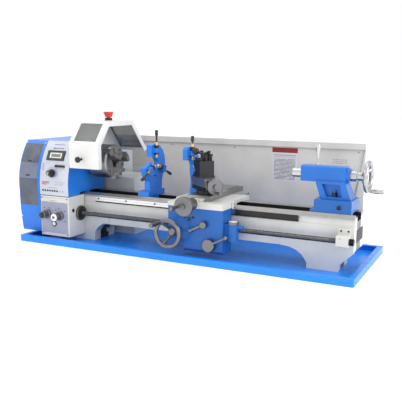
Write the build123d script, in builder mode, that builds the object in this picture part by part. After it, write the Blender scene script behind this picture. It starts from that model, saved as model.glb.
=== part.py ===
from build123d import *
import math
import os

# Bench metal lathe, swing about 254 mm, about 770 mm between chuck and quill.
# Millimetres. Origin: centre of the chip tray's underside. +X points to the
# tailstock, +Y to the back, +Z up. The operator stands on the -Y side.

os.makedirs("parts", exist_ok=True)

# ---- driving dimensions ----
TRAY_LENGTH, TRAY_DEPTH, TRAY_HEIGHT = 1400, 512, 26
TRAY_RIM = 20                      # width of the folded rim flange
TRAY_SHEET = 2                     # rim sheet thickness
TRAY_FLOOR = 4                     # floor top above the bench

AXIS_Y, AXIS_Z = -47, 334          # spindle axis
BED_LEFT, BED_RIGHT = -610, 664
BED_FRONT, BED_BACK = -119, 25     # outer edges of the two ways
WALL_FRONT, WALL_BACK = -112, 18   # outer faces of the bed walls
WALL = 14                          # bed wall thickness
BED_UNDER = 78                     # underside of the bed between the feet
WAY_BASE, WAY_FLAT, WAY_TOP = 192, 198, 207
BACK_WAY_TOP = 205
V_APEX_Y, V_HALF = -106, 9         # crest and half width of the front V way
TROUGH_FRONT, TROUGH_BACK = -76, -18

RACK_LEFT, RACK_RIGHT = -405, 466
RACK_FACE = -122                   # front face of the rack
RACK_PITCH = 2 * math.pi           # module 2

SCREW_Y, SCREW_Z, SCREW_R = -148, 122, 9      # leadscrew axis and radius
SCREW_LEFT = -684
BRACKET_LEFT, BRACKET_RIGHT = 613, 655

HEAD_LEFT, HEAD_RIGHT = -612, -466
HEAD_TOP = 418
HEAD_FRONT = -222                  # front of the control box and of the gearbox
HEAD_STEP = -148                   # control box back, headstock casting front
GEARBOX_LOW, GEARBOX_HIGH, GEARBOX_BACK = 31, 197, -119
COVER_LEFT, COVER_RIGHT, COVER_BACK, COVER_LOW = -727, -613.5, 150, 39
COVER_SHEET = 2.5

SPINDLE_R, THROUGH_R = 25, 13
BEARING_R = 40
CHUCK_R, CHUCK_FACE, CHUCK_BACK = 70, -354, -446
JAW_ANGLES = (20, 140, 260)        # jaw directions about the axis, from +Y towards +Z
JAW_WIDTH, JAW_DEPTH = 22, 20

BELT_LEFT = -652
SPINDLE_PULLEY_R, MOTOR_PULLEY_R = 44, 22
MOTOR_Y, MOTOR_Z, MOTOR_R = 112, 168, 50

GEAR_MODULE = 2
GEAR_LEFT, GEAR_RIGHT = -682, -668
SPINDLE_TEETH, IDLER_TEETH, SCREW_TEETH = 30, 80, 54

RUN = 0.05                         # radial clearance of running fits
GAP = 0.4                          # gap between neighbours that slide or turn

CARRIAGE_X = 94                    # centre of the saddle and of the cross slide
SADDLE_LEFT, SADDLE_RIGHT = -24, 212
SADDLE_LOW, SADDLE_TOP = 208, 220
APRON_FRONT, APRON_STEP_FRONT, APRON_BACK = -203, -186, -125
APRON_LEFT, APRON_STEP = -22, 51
APRON_LOW, APRON_HIGH = 36, 198
RACK_WHEEL_X, RACK_WHEEL_Z = 10, 103          # carriage handwheel axis
CROSS_SCREW_Z = 217
CROSS_HALF, CROSS_FRONT, CROSS_BACK = 48, -165, 150
CROSS_TOP = 240
DOVETAIL_ROOT, DOVETAIL_TIP, DOVETAIL_HEIGHT = 24, 30, 11

SWIVEL_Y = -92                     # compound swivel centre
COMPOUND_TURN = -40                # compound direction, degrees about +Z from +X
SWIVEL_TOP, SLIDE_JOINT, TOP_SLIDE_TOP = 252, 268, 300
POST_OFFSET = -30                  # tool post centre along the compound
POST_SIZE, POST_TOP = 60, 362

STEADY_X, STEADY_PLATE = -172, 23  # mid plane and thickness of the steady rest
FOLLOW_X, FOLLOW_PLATE = -8, 20    # mid plane and thickness of the follow rest
FINGER = 13                        # finger thickness

TAIL_LEFT, TAIL_RIGHT, TAIL_BASE_TOP = 502, 648, 252
BARREL_LEFT, BARREL_RIGHT, BARREL_LOW = 456, 617, 310
QUILL_R, QUILL_TIP, QUILL_END = 16, 419, 562
TAIL_WHEEL_X, WHEEL_R = 688, 49

GUARD_Y = 249
GUARD_LEFT, GUARD_RIGHT, GUARD_TOP = -600, 616, 425

HOOD_LEFT, HOOD_RIGHT, HOOD_SHEET = -463, -320, 2
HINGE_Y, HINGE_Z, HINGE_R = 150, 374, 5       # hood hinge rod
DOOR_X, DOOR_Y, DOOR_R = -605, 160, 4         # end cover hinge rod
HOOD_OUTLINE = [(-212, 317), (-212, 417), (-145, 503), (38, 503), (146, 376)]
ESTOP_X, ESTOP_Y = -386, -45


# ---- helpers: each adds to the part that is being built ----
def block(low, high, mode=Mode.ADD):
    """A box between two opposite corners."""
    size = [b - a for a, b in zip(low, high)]
    middle = [(a + b) / 2 for a, b in zip(low, high)]
    with Locations(tuple(middle)):
        Box(*size, mode=mode)


def rod(start, along, radius, length, mode=Mode.ADD):
    """A cylinder from start, running along a direction."""
    with Locations(Plane(origin=start, z_dir=along)):
        Cylinder(radius, length, align=(Align.CENTER, Align.CENTER, Align.MIN), mode=mode)


def ball(centre, radius, mode=Mode.ADD):
    """A sphere."""
    with Locations(centre):
        Sphere(radius, mode=mode)


def turned(start, along, outline, mode=Mode.ADD):
    """A turned shape: outline is (distance along, radius) pairs, closed on the axis."""
    side = Plane(origin=start, z_dir=along).x_dir
    sheet = Plane(origin=start, x_dir=side, z_dir=side.cross(Vector(*along)))
    points = [(0, outline[0][0])] + [(r, d) for d, r in outline] + [(0, outline[-1][0])]
    with BuildSketch(sheet) as profile:
        with BuildLine():
            Polyline(*points, close=True)
        make_face()
    revolve(profile.sketch, axis=Axis(start, along), mode=mode)


def slab_yz(x0, x1, points, mode=Mode.ADD):
    """A prism along X with a (y, z) outline."""
    with BuildSketch(Plane(origin=(x0, 0, 0), x_dir=(0, 1, 0), z_dir=(1, 0, 0))) as profile:
        with BuildLine():
            Polyline(*points, close=True)
        make_face()
    extrude(profile.sketch, amount=x1 - x0, mode=mode)


def slab_xz(y0, y1, points, mode=Mode.ADD):
    """A prism along Y with an (x, z) outline."""
    with BuildSketch(Plane(origin=(0, y1, 0), x_dir=(1, 0, 0), z_dir=(0, -1, 0))) as profile:
        with BuildLine():
            Polyline(*points, close=True)
        make_face()
    extrude(profile.sketch, amount=y1 - y0, mode=mode)


def on_axis(points):
    """Move (y, z) points from the spindle axis to the lathe's frame."""
    return [(AXIS_Y + y, AXIS_Z + z) for y, z in points]


def polar(radius, degrees, centre=(0, 0)):
    """A point at a radius and an angle from a centre."""
    turn = math.radians(degrees)
    return (centre[0] + radius * math.cos(turn), centre[1] + radius * math.sin(turn))


def finish(piece, name):
    """Name the piece and write it to its own file."""
    piece.part.label = name
    export_step(piece.part, f"parts/{name}.step")


# ---- chip tray ----
def make_chip_tray():
    half_x, half_y = TRAY_LENGTH / 2, TRAY_DEPTH / 2
    with BuildPart() as tray:
        block((-half_x, -half_y, 0), (half_x, half_y, TRAY_HEIGHT))
        fillet(tray.edges().filter_by(Axis.Z), 6)
        block((-half_x + TRAY_SHEET, -half_y + TRAY_SHEET, TRAY_FLOOR),
              (half_x - TRAY_SHEET, half_y - TRAY_SHEET, TRAY_HEIGHT - TRAY_SHEET), Mode.SUBTRACT)
        block((-half_x + TRAY_RIM, -half_y + TRAY_RIM, TRAY_FLOOR),
              (half_x - TRAY_RIM, half_y - TRAY_RIM, TRAY_HEIGHT), Mode.SUBTRACT)
    finish(tray, "chip_tray")


# ---- bed, rack and screws ----
FRONT_WAY = [(BED_FRONT, WAY_BASE), (BED_FRONT, WAY_FLAT), (V_APEX_Y - V_HALF, WAY_FLAT),
             (V_APEX_Y - 1, WAY_TOP), (V_APEX_Y + 1, WAY_TOP), (V_APEX_Y + V_HALF, WAY_FLAT),
             (TROUGH_FRONT, WAY_FLAT), (TROUGH_FRONT, WAY_BASE - 12), (WALL_FRONT, WAY_BASE - 12),
             (WALL_FRONT, WAY_BASE)]
BACK_WAY = [(BED_BACK, WAY_BASE), (BED_BACK, BACK_WAY_TOP), (TROUGH_BACK, BACK_WAY_TOP),
            (TROUGH_BACK, WAY_BASE - 12), (WALL_BACK, WAY_BASE - 12), (WALL_BACK, WAY_BASE)]
RIGHT_FOOT = [(500, TRAY_FLOOR), (612, TRAY_FLOOR), (612, 24), (BED_RIGHT, 74), (BED_RIGHT, 130),
              (400, 130), (400, BED_UNDER), (434, 75), (460, 66), (480, 52), (494, 34), (500, 24)]
LEFT_CURVE = [(-418, TRAY_FLOOR), (-416, 40), (-400, 62), (-372, 80), (-345, 88)]
LEFT_FOOT = LEFT_CURVE + [(-345, 130), (-600, 130), (-600, TRAY_FLOOR)]
LEFT_WEB = LEFT_CURVE + [(-345, 102), (-380, 96), (-416, 78), (-438, 50), (-440, TRAY_FLOOR)]
BED_RIBS = (-440, -250, -60, 130, 320, 500)


def make_bed():
    with BuildPart() as bed:
        slab_yz(BED_LEFT, BED_RIGHT, FRONT_WAY)
        slab_yz(BED_LEFT, BED_RIGHT, BACK_WAY)
        block((BED_LEFT, WALL_FRONT, BED_UNDER), (BED_RIGHT, WALL_FRONT + WALL, WAY_BASE))
        block((BED_LEFT, WALL_FRONT - 3, 118), (BED_RIGHT, WALL_FRONT + 1, 168))
        block((BED_LEFT, WALL_BACK - WALL, BED_UNDER), (BED_RIGHT, WALL_BACK, WAY_BASE))
        for x in (BED_LEFT + 8, BED_RIGHT - 8) + BED_RIBS:
            block((x - 8, WALL_FRONT + 5, BED_UNDER), (x + 8, WALL_BACK - 5, WAY_BASE - 12))
        slab_xz(WALL_FRONT - 3, WALL_FRONT + 14, RIGHT_FOOT)
        slab_xz(WALL_BACK - 14, WALL_BACK + 8, RIGHT_FOOT)
        slab_xz(WALL_FRONT - 5, WALL_FRONT + 14, LEFT_FOOT)
        slab_xz(WALL_BACK - 14, WALL_BACK + 8, LEFT_FOOT)
        slab_xz(WALL_FRONT - 3, WALL_BACK, LEFT_WEB)
        block((500, WALL_FRONT, TRAY_FLOOR), (612, WALL_BACK, 24))
        block((-600, WALL_FRONT, TRAY_FLOOR), (-418, WALL_BACK, 20))
        block((-428, -75, 22), (-410, -10, 42), Mode.SUBTRACT)
    finish(bed, "bed")


def make_rack():
    teeth = int((RACK_RIGHT - RACK_LEFT) / RACK_PITCH) - 1
    outline = [(RACK_LEFT, WAY_BASE - 0.5), (RACK_LEFT, 170)]
    for i in range(teeth):
        x = RACK_LEFT + RACK_PITCH * (i + 0.75)
        outline += [(x, 170), (x + 1.2, 174), (x + 2.3, 174), (x + 3.5, 170)]
    outline += [(RACK_RIGHT, 170), (RACK_RIGHT, WAY_BASE - 0.5)]
    with BuildPart() as rack:
        slab_xz(RACK_FACE, WALL_FRONT, outline)
    finish(rack, "bed_rack")


def make_machine_screws():
    """Cap screws: rack, leadscrew bracket and gearbox."""
    spots = [((x, RACK_FACE, 184), 3.2, 2.5) for x in (-390, -255, -120, 150, 285, 420)]
    spots += [((x, RACK_FACE - 1, 153), 3.2, 2.5) for x in (621, 646)]
    spots += [((x, HEAD_FRONT, z), 2.5, 1.5) for x in (-604, -474) for z in (40, 188)]
    with BuildPart() as screws:
        for place, radius, height in spots:
            rod(place, (0, -1, 0), radius, height)
    finish(screws, "machine_screws")


def make_leadscrew_bracket():
    with BuildPart() as bracket:
        block((609, RACK_FACE - 1, 106), (657, WALL_FRONT - 3, 162))
        block((BRACKET_LEFT, SCREW_Y - 16, 104), (BRACKET_RIGHT, RACK_FACE, 142))
        fillet(bracket.edges().filter_by(Axis.X).sort_by(Axis.Y)[:2], 5)
        rod((600, SCREW_Y, SCREW_Z), (1, 0, 0), SCREW_R + RUN, 70, Mode.SUBTRACT)
    finish(bracket, "leadscrew_bracket")


# ---- headstock end ----
def curved_front(low):
    """The bulged front line shared by the control box and the end cover, from the top down."""
    ThreePointArc((-158, HEAD_TOP), (-205, 335), (HEAD_FRONT, 215))
    if low < 150:
        ThreePointArc((HEAD_FRONT, 215), (-218, 125), (-207, low))
    else:
        Line((HEAD_FRONT, 215), (HEAD_FRONT, low))


def bulged_section(low, back):
    """Closed (y, z) outline with the bulged front."""
    with BuildLine() as outline:
        curved_front(low)
        foot = -207 if low < 150 else HEAD_FRONT
        Polyline((foot, low), (back, low), (back, HEAD_TOP), (-158, HEAD_TOP))
    make_face(outline.edges())


DISPLAY_PLANE = Plane(origin=(-544, -194, 361), x_dir=(1, 0, 0), z_dir=(0, -0.902, 0.432))
KEYS_PLANE = Plane(origin=(-514, -210, 320), x_dir=(1, 0, 0), z_dir=(0, -0.956, 0.292))


def make_control_box():
    with BuildPart() as box:
        with BuildSketch(Plane(origin=(HEAD_LEFT, 0, 0), x_dir=(0, 1, 0), z_dir=(1, 0, 0))):
            bulged_section(GEARBOX_HIGH + 2, HEAD_STEP)
        extrude(amount=HEAD_RIGHT - HEAD_LEFT)
        with BuildSketch(Plane(origin=(HEAD_LEFT + 3, 0, 0), x_dir=(0, 1, 0), z_dir=(1, 0, 0))):
            bulged_section(GEARBOX_HIGH + 2, HEAD_STEP)
            offset(amount=-3, mode=Mode.REPLACE)
        extrude(amount=HEAD_RIGHT - HEAD_LEFT - 6, mode=Mode.SUBTRACT)
        with Locations(DISPLAY_PLANE):
            Box(88, 42, 30, mode=Mode.SUBTRACT)
        with Locations(KEYS_PLANE):
            Box(50, 9, 20, mode=Mode.SUBTRACT)
        rod((-546, -200, 287), SPEED_AXIS, 19, 22)
        rod((-546, -190.16, 285.22), SPEED_AXIS, 5 + RUN, 40, Mode.SUBTRACT)
    finish(box, "control_box")


def make_display_unit():
    """Readout frame with its screen and the key strip below it, on the curved panel."""
    with BuildPart() as unit:
        with Locations(DISPLAY_PLANE):
            Box(88, 42, 8)
            with Locations((0, 0, 3)):
                Box(62, 24, 4, mode=Mode.SUBTRACT)
        with Locations(KEYS_PLANE):
            Box(50, 9, 6)
    finish(unit, "display_unit")


SPEED_AXIS = (0, -0.984, 0.178)     # the panel leans back here


def make_panel_knobs():
    """The speed knob and the two gearbox selectors, each its own piece."""
    with BuildPart() as speed:
        rod((-546, -200, 287), SPEED_AXIS, 5, 24)
        start = tuple(Vector(-546, -200, 287) + Vector(*SPEED_AXIS) * (22 + GAP))
        turned(start, SPEED_AXIS, [(0, 17), (5, 17), (6, 12), (25, 10.5), (27, 9)])
    finish(speed, "speed_knob")
    for name, x, z in (("feed_selector_left", -575, 121), ("feed_selector_right", -510, 118)):
        with BuildPart() as knob:
            turned((x, HEAD_FRONT - GAP, z), (0, -1, 0),
                   [(0, 19), (8, 19), (10, 16), (36, 15), (38, 13)])
            rod((x, HEAD_FRONT + 14, z), (0, -1, 0), 5, 16)
            block((x - 1.5, HEAD_FRONT - 41, z - 13), (x + 1.5, HEAD_FRONT - 38, z + 13))
        finish(knob, name)


def make_feed_gearbox():
    with BuildPart() as gearbox:
        block((HEAD_LEFT, HEAD_FRONT, GEARBOX_LOW), (HEAD_RIGHT, GEARBOX_BACK, GEARBOX_HIGH))
        fillet(gearbox.edges().filter_by(Axis.Z).sort_by(Axis.Y)[:2], 3)
        block((HEAD_LEFT + 8, HEAD_FRONT + 8, GEARBOX_LOW + 8),
              (HEAD_RIGHT - 8, GEARBOX_BACK - 8, GEARBOX_HIGH - 8), Mode.SUBTRACT)
        turned((HEAD_RIGHT, SCREW_Y, SCREW_Z), (1, 0, 0), [(0, 31), (7, 31), (9, 29)])
        rod((HEAD_LEFT - 1, SCREW_Y, SCREW_Z), (1, 0, 0), SCREW_R + RUN, 170, Mode.SUBTRACT)
        rod((-541, HEAD_FRONT + 1, 82), (0, -1, 0), 11, 3.5)
        for x, z in ((-575, 121), (-510, 118)):
            rod((x, HEAD_FRONT + 20, z), (0, -1, 0), 5 + RUN, 22, Mode.SUBTRACT)
    finish(gearbox, "feed_gearbox")


def make_headstock():
    with BuildPart() as head:
        block((HEAD_LEFT, HEAD_STEP, SADDLE_LOW + 1), (HEAD_RIGHT, 22, HEAD_TOP))
        block((HEAD_LEFT, 22, 345), (HEAD_RIGHT, 168, HEAD_TOP))
        fillet(head.edges().filter_by(Axis.X).group_by(Axis.Z)[-1], 6)
        block((HEAD_LEFT + 22, HEAD_STEP + 12, 222), (HEAD_RIGHT - 24, 10, 404), Mode.SUBTRACT)
        block((HEAD_LEFT + 12, 8, 357), (HEAD_RIGHT - 24, 156, 406), Mode.SUBTRACT)
        block((HEAD_LEFT + 4, V_APEX_Y + V_HALF + 1, WAY_FLAT),
              (HEAD_RIGHT - 4, TROUGH_FRONT, SADDLE_LOW + 1))
        block((HEAD_LEFT + 4, TROUGH_BACK, BACK_WAY_TOP), (HEAD_RIGHT - 4, 20, SADDLE_LOW + 1))
        rod((HEAD_LEFT - 1, AXIS_Y, AXIS_Z), (1, 0, 0), BEARING_R, 150, Mode.SUBTRACT)
        rod((HEAD_RIGHT - 30, HINGE_Y, HINGE_Z), (1, 0, 0), HINGE_R, 31, Mode.SUBTRACT)
    finish(head, "headstock_casting")


def make_spindle_bearings():
    with BuildPart() as bearings:
        for x in (HEAD_LEFT + 2, HEAD_RIGHT - 22):
            rod((x, AXIS_Y, AXIS_Z), (1, 0, 0), BEARING_R, 18)
            rod((x, AXIS_Y, AXIS_Z), (1, 0, 0), SPINDLE_R + RUN, 18, Mode.SUBTRACT)
    finish(bearings, "spindle_bearings")


# ---- spindle, chuck and jaws ----
def make_spindle():
    with BuildPart() as spindle:
        turned((-690, AXIS_Y, AXIS_Z), (1, 0, 0),
               [(0, 23), (2, SPINDLE_R), (228, SPINDLE_R), (228, 60), (241, 60), (244, 62)])
        rod((-691, AXIS_Y, AXIS_Z), (1, 0, 0), THROUGH_R, 246, Mode.SUBTRACT)
    finish(spindle, "spindle")


def make_chuck_body():
    length = CHUCK_FACE - CHUCK_BACK
    with BuildPart() as chuck:
        turned((CHUCK_BACK, AXIS_Y, AXIS_Z), (1, 0, 0),
               [(0, 62), (0, 66), (3, CHUCK_R), (14, CHUCK_R), (15.5, CHUCK_R - 1.5), (18, CHUCK_R - 1.5),
                (19.5, CHUCK_R), (length - 6, CHUCK_R), (length, CHUCK_R - 5)])
        rod((CHUCK_BACK - 1, AXIS_Y, AXIS_Z), (1, 0, 0), 17, length + 2, Mode.SUBTRACT)
        rod((CHUCK_FACE - 3, AXIS_Y, AXIS_Z), (1, 0, 0), 26, 4, Mode.SUBTRACT)
        for angle in JAW_ANGLES:
            face = Plane(origin=(CHUCK_FACE, AXIS_Y, AXIS_Z), z_dir=(1, 0, 0),
                         x_dir=(0,) + polar(1, angle))
            with Locations(face):
                with Locations((40, 0, 0)):
                    Box(84, JAW_WIDTH + 2 * GAP, 2 * (JAW_DEPTH + GAP), mode=Mode.SUBTRACT)
            key = Plane(origin=(CHUCK_FACE - 46,) + polar(CHUCK_R - 14, angle + 60, (AXIS_Y, AXIS_Z)),
                        z_dir=(0,) + polar(1, angle + 60))
            with Locations(key):
                Cylinder(7, 20, align=(Align.CENTER, Align.CENTER, Align.MIN), mode=Mode.SUBTRACT)
            for turn in (-22, 22):
                y, z = polar(52, angle + 60 + turn, (AXIS_Y, AXIS_Z))
                rod((CHUCK_FACE - 6, y, z), (1, 0, 0), 5, 10, Mode.SUBTRACT)
    finish(chuck, "chuck_body")


def make_chuck_jaws():
    """Stepped jaws. The tall step is nearest the axis."""
    for number, angle in enumerate(JAW_ANGLES, start=1):
        face = Plane(origin=(CHUCK_FACE, AXIS_Y, AXIS_Z), z_dir=(1, 0, 0), x_dir=(0,) + polar(1, angle))
        half = JAW_WIDTH / 2
        with BuildPart(face) as jaw:
            block((26, -half, -JAW_DEPTH), (74, half, 14))
            block((26, -half, 0), (57, half, 30))
            block((26, -half, 0), (41, half, 44))
        finish(jaw, f"chuck_jaw_{number}")


# ---- drive: belt, motor and change gears ----
def gear_outline(teeth, centre, phase):
    """Trapezoid teeth with backlash. phase is the angle of a tooth's middle, in degrees."""
    pitch_r = GEAR_MODULE * teeth / 2
    root, tip = pitch_r - 1.3 * GEAR_MODULE, pitch_r + 0.9 * GEAR_MODULE
    step = 360 / teeth
    outline = []
    for i in range(teeth):
        middle = phase + i * step
        outline += [polar(root, middle - 0.36 * step, centre), polar(tip, middle - 0.11 * step, centre),
                    polar(tip, middle + 0.11 * step, centre), polar(root, middle + 0.36 * step, centre)]
    return outline


def idler_centre():
    """Where the idler gear meshes with both the spindle gear and the screw gear."""
    first = GEAR_MODULE * (SPINDLE_TEETH + IDLER_TEETH) / 2
    second = GEAR_MODULE * (SCREW_TEETH + IDLER_TEETH) / 2
    dy, dz = SCREW_Y - AXIS_Y, SCREW_Z - AXIS_Z
    span = math.hypot(dy, dz)
    along = (first ** 2 - second ** 2 + span ** 2) / (2 * span)
    aside = math.sqrt(first ** 2 - along ** 2)
    return (AXIS_Y + along * dy / span - aside * dz / span,
            AXIS_Z + along * dz / span + aside * dy / span)


def mesh_phase(driver, driver_phase, driver_teeth, driven, driven_teeth):
    """Tooth angle of a driven gear that puts a gap against the driver's tooth."""
    toward = math.degrees(math.atan2(driven[1] - driver[1], driven[0] - driver[0]))
    fraction = ((toward - driver_phase) * driver_teeth / 360) % 1
    return toward + 180 + (fraction + 0.5) * 360 / driven_teeth


IDLER = idler_centre()
IDLER_PHASE = mesh_phase((AXIS_Y, AXIS_Z), 0, SPINDLE_TEETH, IDLER, IDLER_TEETH)
SCREW_PHASE = mesh_phase(IDLER, IDLER_PHASE, IDLER_TEETH, (SCREW_Y, SCREW_Z), SCREW_TEETH)


def make_spindle_pulley():
    """Belt pulley and change gear on the spindle's tail."""
    with BuildPart() as pulley:
        turned((BELT_LEFT - 4, AXIS_Y, AXIS_Z), (1, 0, 0),
               [(0, SPINDLE_PULLEY_R + 6), (3, SPINDLE_PULLEY_R + 6), (3, SPINDLE_PULLEY_R),
                (25, SPINDLE_PULLEY_R), (25, SPINDLE_PULLEY_R + 6), (28, SPINDLE_PULLEY_R + 6)])
        rod((BELT_LEFT - 4, AXIS_Y, AXIS_Z), (-1, 0, 0), SPINDLE_R + 3, BELT_LEFT - 4 - GEAR_RIGHT)
        slab_yz(GEAR_LEFT, GEAR_RIGHT, gear_outline(SPINDLE_TEETH, (AXIS_Y, AXIS_Z), 0))
        rod((GEAR_LEFT - 1, AXIS_Y, AXIS_Z), (1, 0, 0), SPINDLE_R, 60, Mode.SUBTRACT)
    finish(pulley, "spindle_pulley")


def make_idler_gear():
    with BuildPart() as idler:
        slab_yz(GEAR_LEFT, GEAR_RIGHT, gear_outline(IDLER_TEETH, IDLER, IDLER_PHASE))
        rod((GEAR_LEFT - 1, *IDLER), (1, 0, 0), 8 + RUN, 20, Mode.SUBTRACT)
        for i in range(5):
            y, z = polar(44, 72 * i, IDLER)
            rod((GEAR_LEFT - 1, y, z), (1, 0, 0), 16, 20, Mode.SUBTRACT)
    finish(idler, "idler_gear")


def make_gear_quadrant():
    """Swing arm behind the gears: holds the idler's stud off the gearbox."""
    with BuildPart() as arm:
        with BuildSketch(Plane(origin=(-660, 0, 0), x_dir=(0, 1, 0), z_dir=(1, 0, 0))):
            with Locations((SCREW_Y, SCREW_Z)):
                Circle(22)
            with Locations(IDLER):
                Circle(15)
            make_hull()
        extrude(amount=6)
        rod((-654, SCREW_Y, SCREW_Z), (1, 0, 0), 20, HEAD_LEFT + 654)
        rod((-661, SCREW_Y, SCREW_Z), (1, 0, 0), 13, 60, Mode.SUBTRACT)
        rod((-688, *IDLER), (1, 0, 0), 8, 30)
        rod((-666, *IDLER), (1, 0, 0), 12, 7)
    finish(arm, "gear_quadrant")


def make_leadscrew():
    with BuildPart() as screw:
        turned((SCREW_LEFT, SCREW_Y, SCREW_Z), (1, 0, 0),
               [(0, 8), (1, SCREW_R), (1341, SCREW_R), (1341, 12), (1354, 12), (1356, 10)])
        slab_yz(GEAR_LEFT, GEAR_RIGHT, gear_outline(SCREW_TEETH, (SCREW_Y, SCREW_Z), SCREW_PHASE))
    finish(screw, "leadscrew")


def make_motor():
    with BuildPart() as motor:
        rod((-584, MOTOR_Y, MOTOR_Z), (1, 0, 0), MOTOR_R, 166)
        for i in range(7):
            rod((-560 + 18 * i, MOTOR_Y, MOTOR_Z), (1, 0, 0), MOTOR_R + 3, 8)
        block((-560, MOTOR_Y - 34, TRAY_FLOOR), (-446, MOTOR_Y + 34, MOTOR_Z - 30))
        block((-540, MOTOR_Y - 22, TRAY_FLOOR), (-466, MOTOR_Y + 22, MOTOR_Z - 62), Mode.SUBTRACT)
        rod((-590, MOTOR_Y, MOTOR_Z), (1, 0, 0), 9 + RUN, 32, Mode.SUBTRACT)
    finish(motor, "motor")
    with BuildPart() as pulley:
        turned((BELT_LEFT - 4, MOTOR_Y, MOTOR_Z), (1, 0, 0),
               [(0, MOTOR_PULLEY_R + 5), (3, MOTOR_PULLEY_R + 5), (3, MOTOR_PULLEY_R),
                (25, MOTOR_PULLEY_R), (25, MOTOR_PULLEY_R + 5), (28, MOTOR_PULLEY_R + 5),
                (28, 9), (96, 9)])
    finish(pulley, "motor_pulley")


def belt_outline(grow):
    """Hull of the two pulleys, grown outwards."""
    with Locations((AXIS_Y, AXIS_Z)):
        Circle(SPINDLE_PULLEY_R + grow)
    with Locations((MOTOR_Y, MOTOR_Z)):
        Circle(MOTOR_PULLEY_R + grow)
    make_hull()


def make_drive_belt():
    start = Plane(origin=(BELT_LEFT + 1, 0, 0), x_dir=(0, 1, 0), z_dir=(1, 0, 0))
    with BuildPart() as belt:
        with BuildSketch(start):
            belt_outline(4.5)
        extrude(amount=18)
        with BuildSketch(start):
            belt_outline(0.5)
        extrude(amount=18, mode=Mode.SUBTRACT)
    finish(belt, "drive_belt")


# ---- covers ----
def make_end_cover():
    span = COVER_RIGHT - COVER_LEFT
    with BuildPart() as cover:
        with BuildSketch(Plane(origin=(COVER_LEFT, 0, 0), x_dir=(0, 1, 0), z_dir=(1, 0, 0))):
            bulged_section(COVER_LOW, COVER_BACK)
        extrude(amount=span)
        fillet(cover.faces().sort_by(Axis.X)[0].edges(), 4)
        with BuildSketch(Plane(origin=(COVER_LEFT + COVER_SHEET, 0, 0), x_dir=(0, 1, 0), z_dir=(1, 0, 0))):
            bulged_section(COVER_LOW, COVER_BACK)
            offset(amount=-COVER_SHEET, mode=Mode.REPLACE)
        extrude(amount=span, mode=Mode.SUBTRACT)
        rod((COVER_LEFT - 1, AXIS_Y, AXIS_Z), (1, 0, 0), 18, 10, Mode.SUBTRACT)
        for z in (90, 320):
            block((-618, COVER_BACK - 2, z), (DOOR_X, DOOR_Y, z + 24))
            rod((DOOR_X, DOOR_Y, z), (0, 0, 1), DOOR_R + 4, 24)
            rod((DOOR_X, DOOR_Y, z - 1), (0, 0, 1), DOOR_R + RUN, 26, Mode.SUBTRACT)
    finish(cover, "end_cover")


def make_hinge_rods():
    """The end cover's upright hinge rod with its two mounts, and the hood's rod."""
    with BuildPart() as rods:
        rod((DOOR_X, DOOR_Y, 60), (0, 0, 1), DOOR_R, 285)
        block((DOOR_X - 5, DOOR_Y - 5, 52), (-590, DOOR_Y + 5, 66))
        rod((HEAD_RIGHT - 29, HINGE_Y, HINGE_Z), (1, 0, 0), HINGE_R, HOOD_RIGHT - HEAD_RIGHT + 28)
    finish(rods, "hinge_rods")


def make_motor_cover():
    with BuildPart() as cover:
        block((-590, 56, TRAY_FLOOR), (-330, 236, 255))
        fillet(cover.edges().filter_by(Axis.X).group_by(Axis.Z)[-1], 4)
        block((-588, 58, TRAY_FLOOR), (-332, 234, 253), Mode.SUBTRACT)
        rod((-591, MOTOR_Y, MOTOR_Z), (1, 0, 0), 13, 4, Mode.SUBTRACT)
    finish(cover, "motor_cover")


def make_splash_guard():
    wing = [(616, 420), (616, TRAY_HEIGHT), (560, TRAY_HEIGHT)]
    with BuildPart() as guard:
        block((GUARD_LEFT, GUARD_Y, TRAY_HEIGHT), (GUARD_RIGHT, GUARD_Y + 2, GUARD_TOP))
        block((GUARD_LEFT, GUARD_Y - 9, GUARD_TOP - 24), (GUARD_RIGHT, GUARD_Y, GUARD_TOP))
        block((GUARD_LEFT, GUARD_Y - 12, TRAY_HEIGHT), (GUARD_RIGHT, GUARD_Y, TRAY_HEIGHT + 2))
        slab_xz(GUARD_Y - 7, GUARD_Y, wing)
        block((-462, GUARD_Y - 2, 281), (-300, GUARD_Y + 3, 361), Mode.SUBTRACT)
        block((-466, GUARD_Y + 2, 277), (-296, GUARD_Y + 4, 365))
    finish(guard, "splash_guard")


# ---- chuck hood ----
def inward_quad(start, end, depth):
    """A strip along a segment of the hood outline, towards the spindle."""
    dy, dz = end[0] - start[0], end[1] - start[1]
    length = math.hypot(dy, dz)
    ny, nz = dz / length * depth, -dy / length * depth
    return [start, end, (end[0] + ny, end[1] + nz), (start[0] + ny, start[1] + nz)]


def window_quad(start, end, low, high, depth0, depth1):
    """The part of such a strip between two fractions of its length, at a depth range."""
    dy, dz = end[0] - start[0], end[1] - start[1]
    length = math.hypot(dy, dz)
    ny, nz = dz / length, -dy / length
    a = (start[0] + low * dy, start[1] + low * dz)
    b = (start[0] + high * dy, start[1] + high * dz)
    return [(a[0] + ny * depth0, a[1] + nz * depth0), (b[0] + ny * depth0, b[1] + nz * depth0),
            (b[0] + ny * depth1, b[1] + nz * depth1), (a[0] + ny * depth1, a[1] + nz * depth1)]


HOOD_SLOPES = ((HOOD_OUTLINE[1], HOOD_OUTLINE[2]), (HOOD_OUTLINE[3], HOOD_OUTLINE[4]))


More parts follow.
